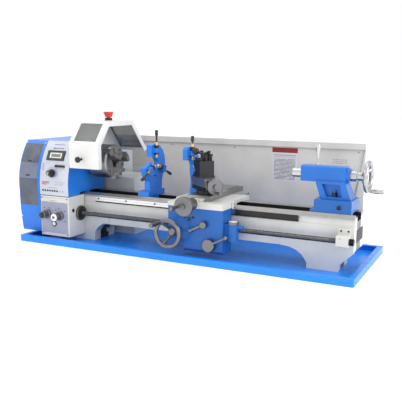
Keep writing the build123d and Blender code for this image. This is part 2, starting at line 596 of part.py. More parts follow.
def make_chuck_hood():
    with BuildPart() as hood:
        for start, end in zip(HOOD_OUTLINE[:-1], HOOD_OUTLINE[1:]):
            slab_yz(HOOD_LEFT, HOOD_RIGHT, inward_quad(start, end, HOOD_SHEET))
        slab_yz(HOOD_LEFT, HOOD_LEFT + 2, HOOD_OUTLINE)
        rod((HOOD_LEFT - 1, AXIS_Y, AXIS_Z), (1, 0, 0), 84, 4, Mode.SUBTRACT)
        for start, end in zip(HOOD_OUTLINE[:-1], HOOD_OUTLINE[1:]):
            slab_yz(HOOD_RIGHT - 2, HOOD_RIGHT, inward_quad(start, end, 20))
        for start, end in HOOD_SLOPES:
            slab_yz(HOOD_LEFT + 18, HOOD_RIGHT - 18, window_quad(start, end, 0.1, 0.9, -1, 3),
                    Mode.SUBTRACT)
        rod((HOOD_LEFT, HINGE_Y, HINGE_Z), (1, 0, 0), HINGE_R + 4, HOOD_RIGHT - HOOD_LEFT)
        rod((HOOD_LEFT - 1, HINGE_Y, HINGE_Z), (1, 0, 0), HINGE_R + RUN, HOOD_RIGHT - HOOD_LEFT + 2,
            Mode.SUBTRACT)
        rod((ESTOP_X, ESTOP_Y, 503), (0, 0, 1), 15.5, 11)
        rod((ESTOP_X, ESTOP_Y, 499), (0, 0, 1), 8 + RUN, 20, Mode.SUBTRACT)
        turned((-402, -211, 355), (0, -1, 0), [(0, 5), (17, 5), (19, 9), (23, 12), (29, 12), (34, 7)])
    finish(hood, "chuck_hood")
    with BuildPart() as windows:
        for start, end in HOOD_SLOPES:
            slab_yz(HOOD_LEFT + 10, HOOD_RIGHT - 10, window_quad(start, end, 0.05, 0.95, 2, 4))
    finish(windows, "hood_windows")
    with BuildPart() as button:
        turned((ESTOP_X, ESTOP_Y, 503.5), (0, 0, 1),
               [(0, 8), (14, 8), (14, 15), (20, 16), (28, 19), (33, 20.5), (35, 19.5)])
    finish(button, "estop_button")


# ---- carriage ----
def v_groove(x0, x1):
    """Cut the clearance over the front V way."""
    slab_yz(x0, x1, [(V_APEX_Y - V_HALF - 1, WAY_FLAT - 1), (V_APEX_Y - 1.3, WAY_TOP + GAP),
                     (V_APEX_Y + 1.3, WAY_TOP + GAP), (V_APEX_Y + V_HALF + 1, WAY_FLAT - 1)],
            Mode.SUBTRACT)


def way_pads(x0, x1, front, back):
    """Feet of a slide over the two ways, with the V groove cut."""
    block((x0, front, WAY_FLAT + GAP), (x1, TROUGH_FRONT, SADDLE_LOW))
    block((x0, TROUGH_BACK, BACK_WAY_TOP + GAP), (x1, back, SADDLE_LOW))
    v_groove(x0, x1)


def make_saddle():
    middle = CARRIAGE_X
    with BuildPart() as saddle:
        block((SADDLE_LEFT, BED_FRONT, SADDLE_LOW), (SADDLE_RIGHT, 46, SADDLE_TOP))
        block((middle - 74, APRON_FRONT, APRON_HIGH), (SADDLE_RIGHT, BED_FRONT - GAP, SADDLE_TOP))
        block((SADDLE_LEFT, APRON_STEP_FRONT, APRON_HIGH), (middle, BED_FRONT - GAP, SADDLE_TOP - 6))
        block((middle - 60, BED_FRONT - 2, SADDLE_LOW), (SADDLE_RIGHT, BED_FRONT + 2, SADDLE_TOP))
        way_pads(SADDLE_LEFT, SADDLE_RIGHT, BED_FRONT, BED_BACK - 1)
        block((SADDLE_LEFT, BED_BACK + GAP, 186), (SADDLE_RIGHT, 46, SADDLE_LOW))
        slab_xz(CROSS_FRONT - 20, 46, [(middle - DOVETAIL_ROOT, SADDLE_TOP),
                                       (middle + DOVETAIL_ROOT, SADDLE_TOP),
                                       (middle + DOVETAIL_TIP, SADDLE_TOP + DOVETAIL_HEIGHT),
                                       (middle - DOVETAIL_TIP, SADDLE_TOP + DOVETAIL_HEIGHT)])
        rod((middle, APRON_FRONT, CROSS_SCREW_Z), (0, -1, 0), 20, 8)
        rod((middle, APRON_FRONT + 30, CROSS_SCREW_Z), (0, -1, 0), 7 + RUN, 50, Mode.SUBTRACT)
    finish(saddle, "saddle")


DIAL_X, DIAL_Y = 240, -172          # thread dial axis


def make_apron():
    low, high = APRON_LOW, APRON_HIGH
    with BuildPart() as apron:
        block((APRON_STEP, APRON_FRONT, low), (SADDLE_RIGHT, APRON_BACK, high))
        block((APRON_LEFT, APRON_STEP_FRONT, low + 8), (APRON_STEP, APRON_BACK, high))
        chamfer(apron.edges().filter_by(Axis.X).group_by(Axis.Z)[0].sort_by(Axis.Y)[:1], 8)
        block((APRON_STEP + 8, APRON_FRONT + 9, low + 8), (SADDLE_RIGHT - 8, APRON_BACK - 7, high - 8),
              Mode.SUBTRACT)
        block((APRON_LEFT + 8, APRON_STEP_FRONT + 9, low + 16), (APRON_STEP + 9, APRON_BACK - 7, high - 8),
              Mode.SUBTRACT)
        rod((APRON_LEFT - 1, SCREW_Y, SCREW_Z), (1, 0, 0), 13, 240, Mode.SUBTRACT)
        rod((RACK_WHEEL_X, APRON_STEP_FRONT + 12, RACK_WHEEL_Z), (0, -1, 0), 8 + RUN, 14, Mode.SUBTRACT)
        rod((140, APRON_FRONT + 12, 142), (0, -1, 0), 7 + RUN, 14, Mode.SUBTRACT)
        rod((163, APRON_FRONT + 12, 68), (0, -1, 0), 7 + RUN, 14, Mode.SUBTRACT)
        for x in (108, 160):
            block((x - 3.6, SCREW_Y + 10, 84), (x + 3.6, APRON_BACK - 6, 160))
        rod((DIAL_X, DIAL_Y, 88), (0, 0, 1), 21, 60)
        block((SADDLE_RIGHT - 1, DIAL_Y - 12, 98), (DIAL_X, DIAL_Y + 6, 148))
        rod((DIAL_X + 14, DIAL_Y, 138), (1, 0, 0), 8, 26)
        rod((DIAL_X, DIAL_Y, 92), (0, 0, 1), 15, 50, Mode.SUBTRACT)
        rod((DIAL_X, DIAL_Y, 140), (0, 0, 1), 5 + RUN, 10, Mode.SUBTRACT)
        rod((SADDLE_RIGHT - 1, SCREW_Y, SCREW_Z), (1, 0, 0), 13, 80, Mode.SUBTRACT)
    finish(apron, "apron")


def make_thread_dial():
    with BuildPart() as dial:
        turned((DIAL_X, DIAL_Y, 98), (0, 0, 1),
               [(0, 5), (16, 5), (16, 12), (32, 12), (32, 5), (50.5, 5), (50.5, 22), (58, 22), (59, 21)])
    finish(dial, "thread_dial")


def make_apron_levers():
    with BuildPart() as lever:
        turned((140, APRON_FRONT + 10, 142), (0, -1, 0),
               [(0, 7), (10 + GAP, 7), (10 + GAP, 13), (28, 13), (30, 11)])
        turned((135, APRON_FRONT - 11, 139.5), (-0.9, 0, -0.436),
               [(0, 5.5), (46, 5), (50, 7.5), (60, 7.5), (64, 4)])
    finish(lever, "half_nut_lever")
    with BuildPart() as lever:
        rod((163, APRON_FRONT + 10, 68), (0, -1, 0), 7, 14)
        turned((163, APRON_FRONT - GAP, 68), (0, -1, 0), [(0, 24), (20, 24), (22, 22)])
        rod((163, APRON_FRONT - 14, 68), (0.88, -0.1, 0.46), 5.5, 78)
        ball((163 + 0.88 * 80, APRON_FRONT - 22, 68 + 0.46 * 80), 8.5)
    finish(lever, "feed_lever")


HALF_NUT_OPEN = 8


def make_half_nuts():
    """Two bronze half nuts, drawn open by their cam at rest."""
    for name, side in (("half_nut_upper", 1), ("half_nut_lower", -1)):
        centre_z = SCREW_Z + side * HALF_NUT_OPEN
        low, high = sorted((centre_z + side * 0.3, centre_z + side * 22))
        with BuildPart() as nut:
            block((112, SCREW_Y - 15, low), (156, SCREW_Y + 15.6, high))
            rod((111, SCREW_Y, centre_z), (1, 0, 0), SCREW_R + GAP, 46, Mode.SUBTRACT)
        finish(nut, name)


# ---- handwheels ----
def wheel_rim(centre, along, side, radius, thickness):
    """A rim whose section is a near-round polygon."""
    across = Vector(*side).cross(Vector(*along))
    with BuildSketch(Plane(origin=centre, x_dir=side, z_dir=tuple(across))) as section:
        with Locations((radius, 0)):
            RegularPolygon(thickness, 20)
    revolve(section.sketch, axis=Axis(centre, along))


def offset_point(start, along, side, up, distance, radius, degrees):
    """A point at a distance along an axis and at polar coordinates around it."""
    c, s = polar(radius, degrees)
    return tuple(start[i] + along[i] * distance + side[i] * c + up[i] * s for i in range(3))


def dished_wheel(start, along, side, dish, hub_length, handle_angle, handle_length):
    """Hub at start, three spokes that lean out to a rim, and a turned handle."""
    up = (0, 0, 1)
    turned(start, along, [(0, 15), (hub_length - 4, 15), (hub_length, 12)])
    rim_centre = offset_point(start, along, side, up, dish, 0, 0)
    wheel_rim(rim_centre, along, side, WHEEL_R, 8)
    for i in range(3):
        angle = handle_angle + 120 * i
        inner = Vector(*offset_point(start, along, side, up, hub_length / 2, 8, angle))
        outer = Vector(*offset_point(start, along, side, up, dish, WHEEL_R - 2, angle))
        spoke = outer - inner
        rod(tuple(inner), tuple(spoke.normalized()), 6, spoke.length)
    knob = offset_point(start, along, side, up, dish, WHEEL_R, handle_angle)
    turned(knob, along, [(0, 6), (8, 6), (9, 5), (14, 7), (handle_length * 0.6, 8.5),
                         (handle_length - 3, 8), (handle_length, 5)])


def make_carriage_handwheel():
    with BuildPart() as wheel:
        rod((RACK_WHEEL_X, APRON_STEP_FRONT + 10, RACK_WHEEL_Z), (0, -1, 0), 8, 12)
        dished_wheel((RACK_WHEEL_X, APRON_STEP_FRONT - GAP, RACK_WHEEL_Z), (0, -1, 0), (1, 0, 0),
                     62, 34, 123, 78)
    finish(wheel, "carriage_handwheel")


def make_cross_handwheel():
    """Cross feed screw, graduated dial, solid wheel and handle."""
    start = (CARRIAGE_X, APRON_FRONT - 8 - GAP, CROSS_SCREW_Z)
    with BuildPart() as wheel:
        rod((CARRIAGE_X, APRON_FRONT + 26, CROSS_SCREW_Z), (0, -1, 0), 7, 40)
        turned(start, (0, -1, 0), [(0, 22), (50, 22), (52, 16), (60, 16), (60, 34), (62, 36), (72, 36),
                                   (75, 33), (75, 10), (80, 9)])
        knob = (CARRIAGE_X - 24, start[1] - 74, CROSS_SCREW_Z - 3)
        turned(knob, (0, -1, 0), [(0, 5), (8, 5), (12, 6.5), (34, 8), (46, 7.5), (49, 5)])
    finish(wheel, "cross_handwheel")


# ---- cross slide, compound and tool post ----
def make_cross_slide():
    middle = CARRIAGE_X
    grow = GAP
    with BuildPart() as slide:
        block((middle - CROSS_HALF, CROSS_FRONT, SADDLE_TOP + GAP),
              (middle + CROSS_HALF, CROSS_BACK, CROSS_TOP))
        slab_xz(CROSS_FRONT - 1, CROSS_BACK + 1,
                [(middle - DOVETAIL_ROOT - grow, SADDLE_TOP), (middle + DOVETAIL_ROOT + grow, SADDLE_TOP),
                 (middle + DOVETAIL_TIP + grow, SADDLE_TOP + DOVETAIL_HEIGHT + GAP),
                 (middle - DOVETAIL_TIP - grow, SADDLE_TOP + DOVETAIL_HEIGHT + GAP)], Mode.SUBTRACT)
        for x in (middle - 36, middle + 36):
            block((x - 4, 20, CROSS_TOP - 7), (x + 4, CROSS_BACK + 1, CROSS_TOP + 1), Mode.SUBTRACT)
    finish(slide, "cross_slide")


def compound_plane(z):
    """Local x runs along the compound slide, local y across it."""
    return Plane(origin=(CARRIAGE_X, SWIVEL_Y, z), x_dir=polar(1, COMPOUND_TURN) + (0,), z_dir=(0, 0, 1))


def compound_point(along, across, z):
    """A point given along and across the compound slide."""
    x, y = polar(1, COMPOUND_TURN)
    return (CARRIAGE_X + along * x - across * y, SWIVEL_Y + along * y + across * x, z)


def compound_block(low, high, mode=Mode.ADD):
    """A box between two corners given along and across the compound slide."""
    with Locations(compound_plane(0)):
        block(low, high, mode)


def make_compound_base():
    with BuildPart() as base:
        rod(compound_point(0, 0, CROSS_TOP + GAP), (0, 0, 1), 40, SWIVEL_TOP - CROSS_TOP - GAP)
        compound_block((-72, -30, SWIVEL_TOP), (40, 30, SLIDE_JOINT))
        compound_block((-72, -17, SLIDE_JOINT), (40, 17, SLIDE_JOINT + 12))
    finish(base, "compound_base")


def make_top_slide():
    with BuildPart() as slide:
        compound_block((-76, -32, SLIDE_JOINT + GAP), (48, 32, TOP_SLIDE_TOP))
        compound_block((-77, -17 - GAP, SLIDE_JOINT), (48, 17 + GAP, SLIDE_JOINT + 12 + GAP),
                       Mode.SUBTRACT)
        compound_block((48, -26, SWIVEL_TOP + 4), (56, 26, TOP_SLIDE_TOP - 4))
    finish(slide, "top_slide")


def make_compound_handwheel():
    along = polar(1, COMPOUND_TURN) + (0,)
    start = compound_point(56 + GAP, 0, 274)
    with BuildPart() as wheel:
        turned(start, along, [(0, 15), (12, 15), (12, 29), (14, 31), (22, 31), (24, 28), (24, 10), (32, 9)])
        turned(compound_point(56 + GAP + 23, 4, 252), along,
               [(0, 4.5), (6, 4.5), (10, 5.5), (26, 6.5), (36, 6), (38, 4)])
    finish(wheel, "compound_handwheel")


POST_BOLTS = ((-21, -21, 3), (0, -21, 3), (21, -21, 3), (21, 0, 14), (21, 21, 18), (0, 21, 28),
              (-21, 21, 22), (-21, 0, 28))      # along, across, shank above the post


def make_tool_post():
    """Four-way turret with its clamp bolts."""
    half = POST_SIZE / 2
    low = TOP_SLIDE_TOP + GAP
    left, right = POST_OFFSET - half, POST_OFFSET + half
    with BuildPart() as post:
        compound_block((left - 3, -half - 3, low), (right + 3, half + 3, low + 5))
        compound_block((left, -half, low), (right, half, POST_TOP))
        compound_block((left - 1, -half - 1, 316), (left + 17, half + 1, 336), Mode.SUBTRACT)
        for along, across, rise in POST_BOLTS:
            rod(compound_point(POST_OFFSET + along, across, POST_TOP - 6), (0, 0, 1), 4.5, rise + 7)
            rod(compound_point(POST_OFFSET + along, across, POST_TOP + rise), (0, 0, 1), 6.5, 8)
        rod(compound_point(POST_OFFSET, 0, low - 1), (0, 0, 1), 8 + RUN, 80, Mode.SUBTRACT)
    finish(post, "tool_post")


def make_tool_post_lever():
    x, y, _ = compound_point(POST_OFFSET, 0, 0)
    reach = Vector(-21, -27, 12)
    with BuildPart() as lever:
        rod((x, y, TOP_SLIDE_TOP), (0, 0, 1), 8, POST_TOP - TOP_SLIDE_TOP + 10)
        turned((x, y, POST_TOP + GAP), (0, 0, 1), [(0, 13), (14, 13), (16, 11), (29, 11), (31, 9)])
        rod((x, y, POST_TOP + 24), tuple(reach.normalized()), 5, reach.length)
        ball((x - 21, y - 27, POST_TOP + 36), 13.5)
    finish(lever, "tool_post_lever")


# ---- rests ----
def radial(x, angle, distance):
    """A point at a distance from the spindle axis."""
    return (x,) + polar(distance, angle, (AXIS_Y, AXIS_Z))


def radial_plane(x, angle, distance):
    """Local x points away from the spindle axis, local z along +X."""
    return Plane(origin=radial(x, angle, distance), x_dir=(0,) + polar(1, angle), z_dir=(1, 0, 0))


def finger(x, angle, tip, length, name):
    """Brass-tipped finger that slides towards the axis: tip radius and overall length."""
    out = (0,) + polar(1, angle)
    with BuildPart() as piece:
        rod(radial(x, angle, tip), out, 5.5, 14)
        with Locations(radial_plane(x, angle, tip + 31)):
            Box(38, 15, FINGER)
        rod(radial(x, angle, tip + 50), out, FINGER / 2, 12)
        rod(radial(x, angle, tip + 62), out, 4, length - 82)
        turned(radial(x, angle, tip + length - 22), out, [(0, 5), (2, 6.4), (20, 6.4), (22, 5)])
    finish(piece, name)


def finger_guide(face_x, angle, near, far):
    """Two rails and a strap that keep a finger against the plate."""
    depth = FINGER + 2 * GAP
    with Locations(radial_plane(face_x, angle, (near + far) / 2)):
        with Locations((0, -10.9, depth / 2), (0, 10.9, depth / 2)):
            Box(far - near, 6, depth)
        with Locations((0, 0, depth + 1.5)):
            Box(far - near, 27.8, 3)


def make_steady_rest():
    low, high = STEADY_X - STEADY_PLATE / 2, STEADY_X + STEADY_PLATE / 2
    front_arm = [polar(80, 205 - 15), polar(80, 205 + 15)]
    outline = [(-28, 30), (-28, 76), (-12, 80), (14, 80), (40, 70), (62, 52), (76, 28), (80, 4),
               (78, -16), (62, -50), (54, -70), (52, -107), (-46, -107), (-46, -66),
               front_arm[1], front_arm[0], (-27, 7), (-24, -14), (-6, -27), (14, -23), (25, -8),
               (26, 8), (17, 21), (0, 28)]
    with BuildPart() as steady:
        slab_yz(low, high, on_axis(outline))
        block((-208, -104, SADDLE_LOW), (-158, 22, 227))
        way_pads(-208, -158, -104, 20)
        block((-200, TROUGH_FRONT + 2, 186), (-160, TROUGH_BACK - 2, SADDLE_LOW))
        slab_yz(low - 1, high + 1, on_axis([(-16, -52), (-8, -44), (8, -44), (16, -52), (16, -84),
                                            (8, -90), (-8, -90), (-16, -84)]), Mode.SUBTRACT)
        for angle in (90, 205, 335):
            finger_guide(high, angle, 46, 64)
    finish(steady, "steady_rest")
    plane_x = high + FINGER / 2 + GAP
    finger(plane_x, 90, 26, 110, "steady_finger_top")
    finger(plane_x, 205, 14, 112, "steady_finger_front")
    finger(plane_x, 335, 14, 112, "steady_finger_back")


def make_follow_rest():
    low, high = FOLLOW_X - FOLLOW_PLATE / 2, FOLLOW_X + FOLLOW_PLATE / 2
    outline = [(-30, 24), (-30, 66), (-14, 76), (20, 76), (50, 60), (70, 28), (74, -20), (82, -114),
               (30, -114), (36, -60), (26, -22), (28, 0), (20, 18), (0, 27)]
    with BuildPart() as rest:
        slab_yz(low, high, on_axis(outline))
        block((low, AXIS_Y + 28, SADDLE_TOP), (high + 8, AXIS_Y + 90, SADDLE_TOP + 12))
        for angle in (90, 0):
            finger_guide(high, angle, 42, 60)
    finish(rest, "follow_rest")
    plane_x = high + FINGER / 2 + GAP
    finger(plane_x, 90, 26, 92, "follow_finger_top")
    finger(plane_x, 0, 16, 92, "follow_finger_back")


# ---- tailstock ----
def make_tailstock_base():
    with BuildPart() as base:
        block((TAIL_LEFT, -104, SADDLE_LOW), (TAIL_RIGHT, 20, 216))
        block((TAIL_LEFT + 14, -104, 216), (TAIL_RIGHT, 14, TAIL_BASE_TOP))
        way_pads(TAIL_LEFT, TAIL_RIGHT, -104, 20)
        block((540, TROUGH_FRONT + 2, 184), (620, TROUGH_BACK - 2, SADDLE_LOW))
        rod((606, -104, 228), (0, -1, 0), 5, 3)
    finish(base, "tailstock_base")


def make_tailstock_body():
    leg = [(532, TAIL_BASE_TOP), (640, TAIL_BASE_TOP), (616, BARREL_LOW + 4), (512, BARREL_LOW + 4)]
    pocket = [(552, 260), (608, 260), (600, 304), (536, 304)]
    with BuildPart() as body:
        slab_xz(-82, -12, leg)
        block((BARREL_LEFT, AXIS_Y - 28, BARREL_LOW), (BARREL_RIGHT, AXIS_Y + 28, 366))
        fillet(body.edges().filter_by(Axis.X).group_by(Axis.Z)[-1], 13)
        slab_xz(-83, -64, pocket, Mode.SUBTRACT)
        slab_xz(-30, -11, pocket, Mode.SUBTRACT)
        rod((BARREL_LEFT - 1, AXIS_Y, AXIS_Z), (1, 0, 0), QUILL_R + RUN, 147, Mode.SUBTRACT)
        rod((BARREL_LEFT, AXIS_Y, AXIS_Z), (1, 0, 0), 9 + RUN, 190, Mode.SUBTRACT)
        turned((BARREL_RIGHT, AXIS_Y, AXIS_Z), (1, 0, 0), [(0, 27), (9, 27), (11, 25)])
        rod((BARREL_RIGHT - 10, AXIS_Y, AXIS_Z), (1, 0, 0), 9 + RUN, 30, Mode.SUBTRACT)
        rod((510, AXIS_Y, 360), (0, 0, 1), 5 + RUN, 10, Mode.SUBTRACT)
        rod((580, -73, 256), (0, 0, 1), 4, 28)
    finish(body, "tailstock_body")


def make_quill():
    with BuildPart() as quill:
        turned((QUILL_TIP, AXIS_Y, AXIS_Z), (1, 0, 0),
               [(0, 14), (2, QUILL_R), (QUILL_END - QUILL_TIP, QUILL_R)])
        turned((QUILL_TIP - 0.1, AXIS_Y, AXIS_Z), (1, 0, 0), [(0, 9), (62, 7.4), (62, 7), (68, 0.5)],
               Mode.SUBTRACT)
        rod((QUILL_END + 1, AXIS_Y, AXIS_Z), (-1, 0, 0), 7.5, 72, Mode.SUBTRACT)
    finish(quill, "quill")


def make_tail_handwheel():
    with BuildPart() as wheel:
        rod((606, AXIS_Y, AXIS_Z), (1, 0, 0), 9, 40)
        rod((521, AXIS_Y, AXIS_Z), (1, 0, 0), 7, 86)
        turned((BARREL_RIGHT + 11 + GAP, AXIS_Y, AXIS_Z), (1, 0, 0), [(0, 19), (22, 19), (24, 15), (30, 15)])
        dished_wheel((656, AXIS_Y, AXIS_Z), (1, 0, 0), (0, 1, 0), TAIL_WHEEL_X - 656, 24, 270, 56)
    finish(wheel, "tailstock_handwheel")


def make_tail_clamps():
    with BuildPart() as lever:
        rod((510, AXIS_Y, 361), (0, 0, 1), 5, 8)
        turned((510, AXIS_Y, 366 + GAP), (0, 0, 1),
               [(0, 8), (6, 8), (8, 4), (24, 3.5), (50, 6), (66, 7), (71, 5)])
    finish(lever, "quill_lock_lever")
    with BuildPart() as nut:
        rod((580, -73, 260 + GAP), (0, 0, 1), 8, 3)
        with BuildSketch(Plane.XY.offset(263)):
            with Locations((580, -73)):
                RegularPolygon(8.6, 6)
        extrude(amount=12)
        rod((580, -73, 259), (0, 0, 1), 4 + RUN, 20, Mode.SUBTRACT)
    finish(nut, "tailstock_clamp_nut")


for make in (make_chip_tray, make_bed, make_rack, make_machine_screws, make_leadscrew_bracket,
             make_control_box, make_display_unit, make_panel_knobs, make_feed_gearbox, make_headstock,
             make_spindle_bearings, make_spindle, make_chuck_body, make_chuck_jaws,
             make_spindle_pulley, make_idler_gear, make_gear_quadrant, make_leadscrew, make_motor,
             make_drive_belt, make_end_cover, make_hinge_rods, make_motor_cover, make_splash_guard,
             make_chuck_hood, make_saddle, make_apron, make_thread_dial, make_apron_levers,
             make_half_nuts, make_carriage_handwheel, make_cross_handwheel, make_cross_slide,
             make_compound_base, make_top_slide, make_compound_handwheel, make_tool_post,
             make_tool_post_lever,
             make_steady_rest, make_follow_rest, make_tailstock_base, make_tailstock_body,
             make_quill, make_tail_handwheel, make_tail_clamps):
    make()
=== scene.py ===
import bpy
import bmesh
import math
from mathutils import Matrix, Vector


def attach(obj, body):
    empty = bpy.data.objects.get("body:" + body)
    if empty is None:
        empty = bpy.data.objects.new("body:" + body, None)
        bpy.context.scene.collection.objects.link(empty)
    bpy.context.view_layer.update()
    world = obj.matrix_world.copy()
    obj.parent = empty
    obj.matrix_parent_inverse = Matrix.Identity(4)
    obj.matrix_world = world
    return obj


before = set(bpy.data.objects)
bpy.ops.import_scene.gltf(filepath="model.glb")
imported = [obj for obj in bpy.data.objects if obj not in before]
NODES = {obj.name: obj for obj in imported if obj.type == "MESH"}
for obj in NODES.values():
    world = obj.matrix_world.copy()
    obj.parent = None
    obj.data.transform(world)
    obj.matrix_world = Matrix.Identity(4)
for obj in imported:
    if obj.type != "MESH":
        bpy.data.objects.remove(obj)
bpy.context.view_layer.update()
scene = bpy.context.scene
AXIS = (-0.047, 0.334)               # y and z of the spindle axis, in metres


# ---------------------------------------------------------------- node helpers
class Look:
    """A material being built: the shader, its tree and short ways to add nodes."""

    def __init__(self, name):
        self.mat = bpy.data.materials.new(name)
        self.mat.use_nodes = True
        self.tree = self.mat.node_tree
        self.bsdf = self.tree.nodes["Principled BSDF"]
        self.coords = self.tree.nodes.new("ShaderNodeTexCoord").outputs["Object"]
        self.normal = None

    def node(self, kind, **values):
        made = self.tree.nodes.new(kind)
        for key, value in values.items():
            setattr(made, key, value)
        return made

    def link(self, source, target):
        self.tree.links.new(source, target)

    def set(self, **values):
        for key, value in values.items():
            self.bsdf.inputs[key.replace("_", " ")].default_value = value

    def scaled(self, scale):
        """Object coordinates times a vector, so grain can run along one axis."""
        mapping = self.node("ShaderNodeMapping")
        mapping.inputs["Scale"].default_value = scale
        self.link(self.coords, mapping.inputs["Vector"])
        return mapping.outputs["Vector"]

    def noise(self, scale, detail=3.0, stretch=(1, 1, 1), rough=0.55):
        made = self.node("ShaderNodeTexNoise")
        made.inputs["Scale"].default_value = scale
        made.inputs["Detail"].default_value = detail
        made.inputs["Roughness"].default_value = rough
        self.link(self.scaled(stretch), made.inputs["Vector"])
        return made.outputs["Fac"]

    def ramp(self, value, low, high, low_to=0.0, high_to=1.0):
        """Maps low..high to low_to..high_to, clamped."""
        made = self.node("ShaderNodeMapRange")
        for key, number in zip(("From Min", "From Max", "To Min", "To Max"), (low, high, low_to, high_to)):
            made.inputs[key].default_value = number
        self.link(value, made.inputs["Value"])
        return made.outputs["Result"]

    def math(self, kind, first, second=None):
        made = self.node("ShaderNodeMath", operation=kind)
        for socket, value in zip(made.inputs, (first, second)):
            if isinstance(value, (int, float)):
                socket.default_value = value
            elif value is not None:
                self.link(value, socket)
        return made.outputs[0]

    def axis(self, letter):
        made = self.node("ShaderNodeSeparateXYZ")
        self.link(self.coords, made.inputs[0])
        return made.outputs[letter]

    def from_spindle(self):
        """Distance from the spindle axis, in metres."""
        dy = self.math("SUBTRACT", self.axis("Y"), AXIS[0])
        dz = self.math("SUBTRACT", self.axis("Z"), AXIS[1])
        return self.math("SQRT", self.math("ADD", self.math("POWER", dy, 2), self.math("POWER", dz, 2)))

    def facing(self, letter):
        """The surface normal's part along one axis of the object."""
        made = self.node("ShaderNodeSeparateXYZ")
        self.link(self.node("ShaderNodeTexCoord").outputs["Normal"], made.inputs[0])
        return made.outputs[letter]

    def mix(self, amount, first, second):
        """Goes from the first colour to the second; each is a socket or an (r, g, b)."""
        made = self.node("ShaderNodeMix", data_type="RGBA")
        self.link(amount, made.inputs[0])
        for socket, value in ((made.inputs[6], first), (made.inputs[7], second)):
            if isinstance(value, tuple):
                socket.default_value = value + (1.0,)
            else:
                self.link(value, socket)
        return made.outputs[2]

    def between(self, value, low, high, soft=0.0004):
        """1 inside low..high, 0 outside."""
        return self.math("MULTIPLY", self.ramp(value, low - soft, low + soft),
                         self.ramp(value, high - soft, high + soft, 1.0, 0.0))

    def bump(self, height, strength, distance):
        """Relief from a height, laid over the softened edges where there are any."""
        made = self.node("ShaderNodeBump")
        made.inputs["Strength"].default_value = strength
        made.inputs["Distance"].default_value = distance
        self.link(height, made.inputs["Height"])
        if self.normal is not None:
            self.link(self.normal, made.inputs["Normal"])
        self.normal = made.outputs["Normal"]
        self.link(self.normal, self.bsdf.inputs["Normal"])

    def soften(self, radius=0.0008):
        """Rounds the look of sharp edges."""
        made = self.node("ShaderNodeBevel", samples=4)
        made.inputs["Radius"].default_value = radius
        self.normal = made.outputs["Normal"]
        self.link(self.normal, self.bsdf.inputs["Normal"])

    def edges(self, radius=0.0012):
        """1 on outer edges and corners, 0 on flats."""
        bevel = self.node("ShaderNodeBevel", samples=4)
        bevel.inputs["Radius"].default_value = radius
        dot = self.node("ShaderNodeVectorMath", operation="DOT_PRODUCT")
        self.link(bevel.outputs["Normal"], dot.inputs[0])
        self.link(self.node("ShaderNodeNewGeometry").outputs["Normal"], dot.inputs[1])
        return self.ramp(dot.outputs["Value"], 0.80, 0.98, 1.0, 0.0)

    def colour(self, value):
        self.link(value, self.bsdf.inputs["Base Color"])

    def rough(self, value):
        self.link(value, self.bsdf.inputs["Roughness"])


def tint(colour, factor):
    return tuple(min(1.0, c * factor) for c in colour)


def paint(name, colour, rough=0.32, coat=0.4, peel=0.25, wear_and_highlight=0.35, edge_wear_and_highlight_colour=(0.55, 0.60, 0.66), specks=0.2,
          finish=True):
    """Enamel: slight cloudiness, orange peel, softened edges, and edges tinted as wear and as painted
    highlight.
    """
    look = Look(name)
    look.set(Coat_Weight=coat, Coat_Roughness=0.12, Specular_IOR_Level=0.35)
    cloud = look.ramp(look.noise(9, 4), 0.35, 0.65)
    body = look.mix(cloud, tint(colour, 0.93), tint(colour, 1.05))
    dust = look.ramp(look.noise(420, 2), 0.66, 0.74, 0.0, specks)
    body = look.mix(dust, body, tint(colour, 0.72))
    look.soften()
    # Edges take the edge colour: partly wear, partly a painted highlight.
    edge_wear_and_highlight = look.math("MULTIPLY", look.edges(), look.ramp(look.noise(60, 4), 0.45, 0.7, 0.0, wear_and_highlight))
    look.final = look.mix(edge_wear_and_highlight, body, edge_wear_and_highlight_colour)
    if finish:
        look.colour(look.final)
    look.rough(look.ramp(look.noise(40, 3), 0.3, 0.7, rough - 0.06, rough + 0.10))
    look.bump(look.noise(700, 2), peel, 0.0001)
    return look


def steel(name, colour, rough=0.30, stretch=(3, 60, 60), scratch=0.25, scale=18, metallic=1.0, dark=0.7):
    """Machined metal: fine grain along one axis, faint stains, softened edges."""
    look = Look(name)
    look.set(Metallic=metallic)
    grain = look.noise(scale, 5, stretch, 0.7)
    stain = look.ramp(look.noise(14, 4), 0.38, 0.68)
    body = look.mix(look.ramp(grain, 0.3, 0.7), tint(colour, 0.82), tint(colour, 1.1))
    look.final = look.mix(look.math("MULTIPLY", stain, 1 - dark), body, tint(colour, dark))
    look.colour(look.final)
    look.rough(look.ramp(grain, 0.3, 0.7, rough - 0.08, rough + 0.12))
    look.soften(0.0006)
    look.bump(grain, scratch, 0.00008)
    return look


def plastic(name, colour, rough=0.45, grain=0.3, scale=900):
    """Moulded plastic: fine texture and faint handling marks."""
    look = Look(name)
    smear = look.ramp(look.noise(30, 4), 0.4, 0.7)
    look.final = look.mix(smear, tint(colour, 0.85), tint(colour, 1.15))
    look.colour(look.final)
    look.rough(look.ramp(look.noise(55, 3), 0.3, 0.7, rough - 0.08, rough + 0.1))
    look.soften(0.0006)
    look.bump(look.noise(scale, 2), grain, 0.00006)
    return look


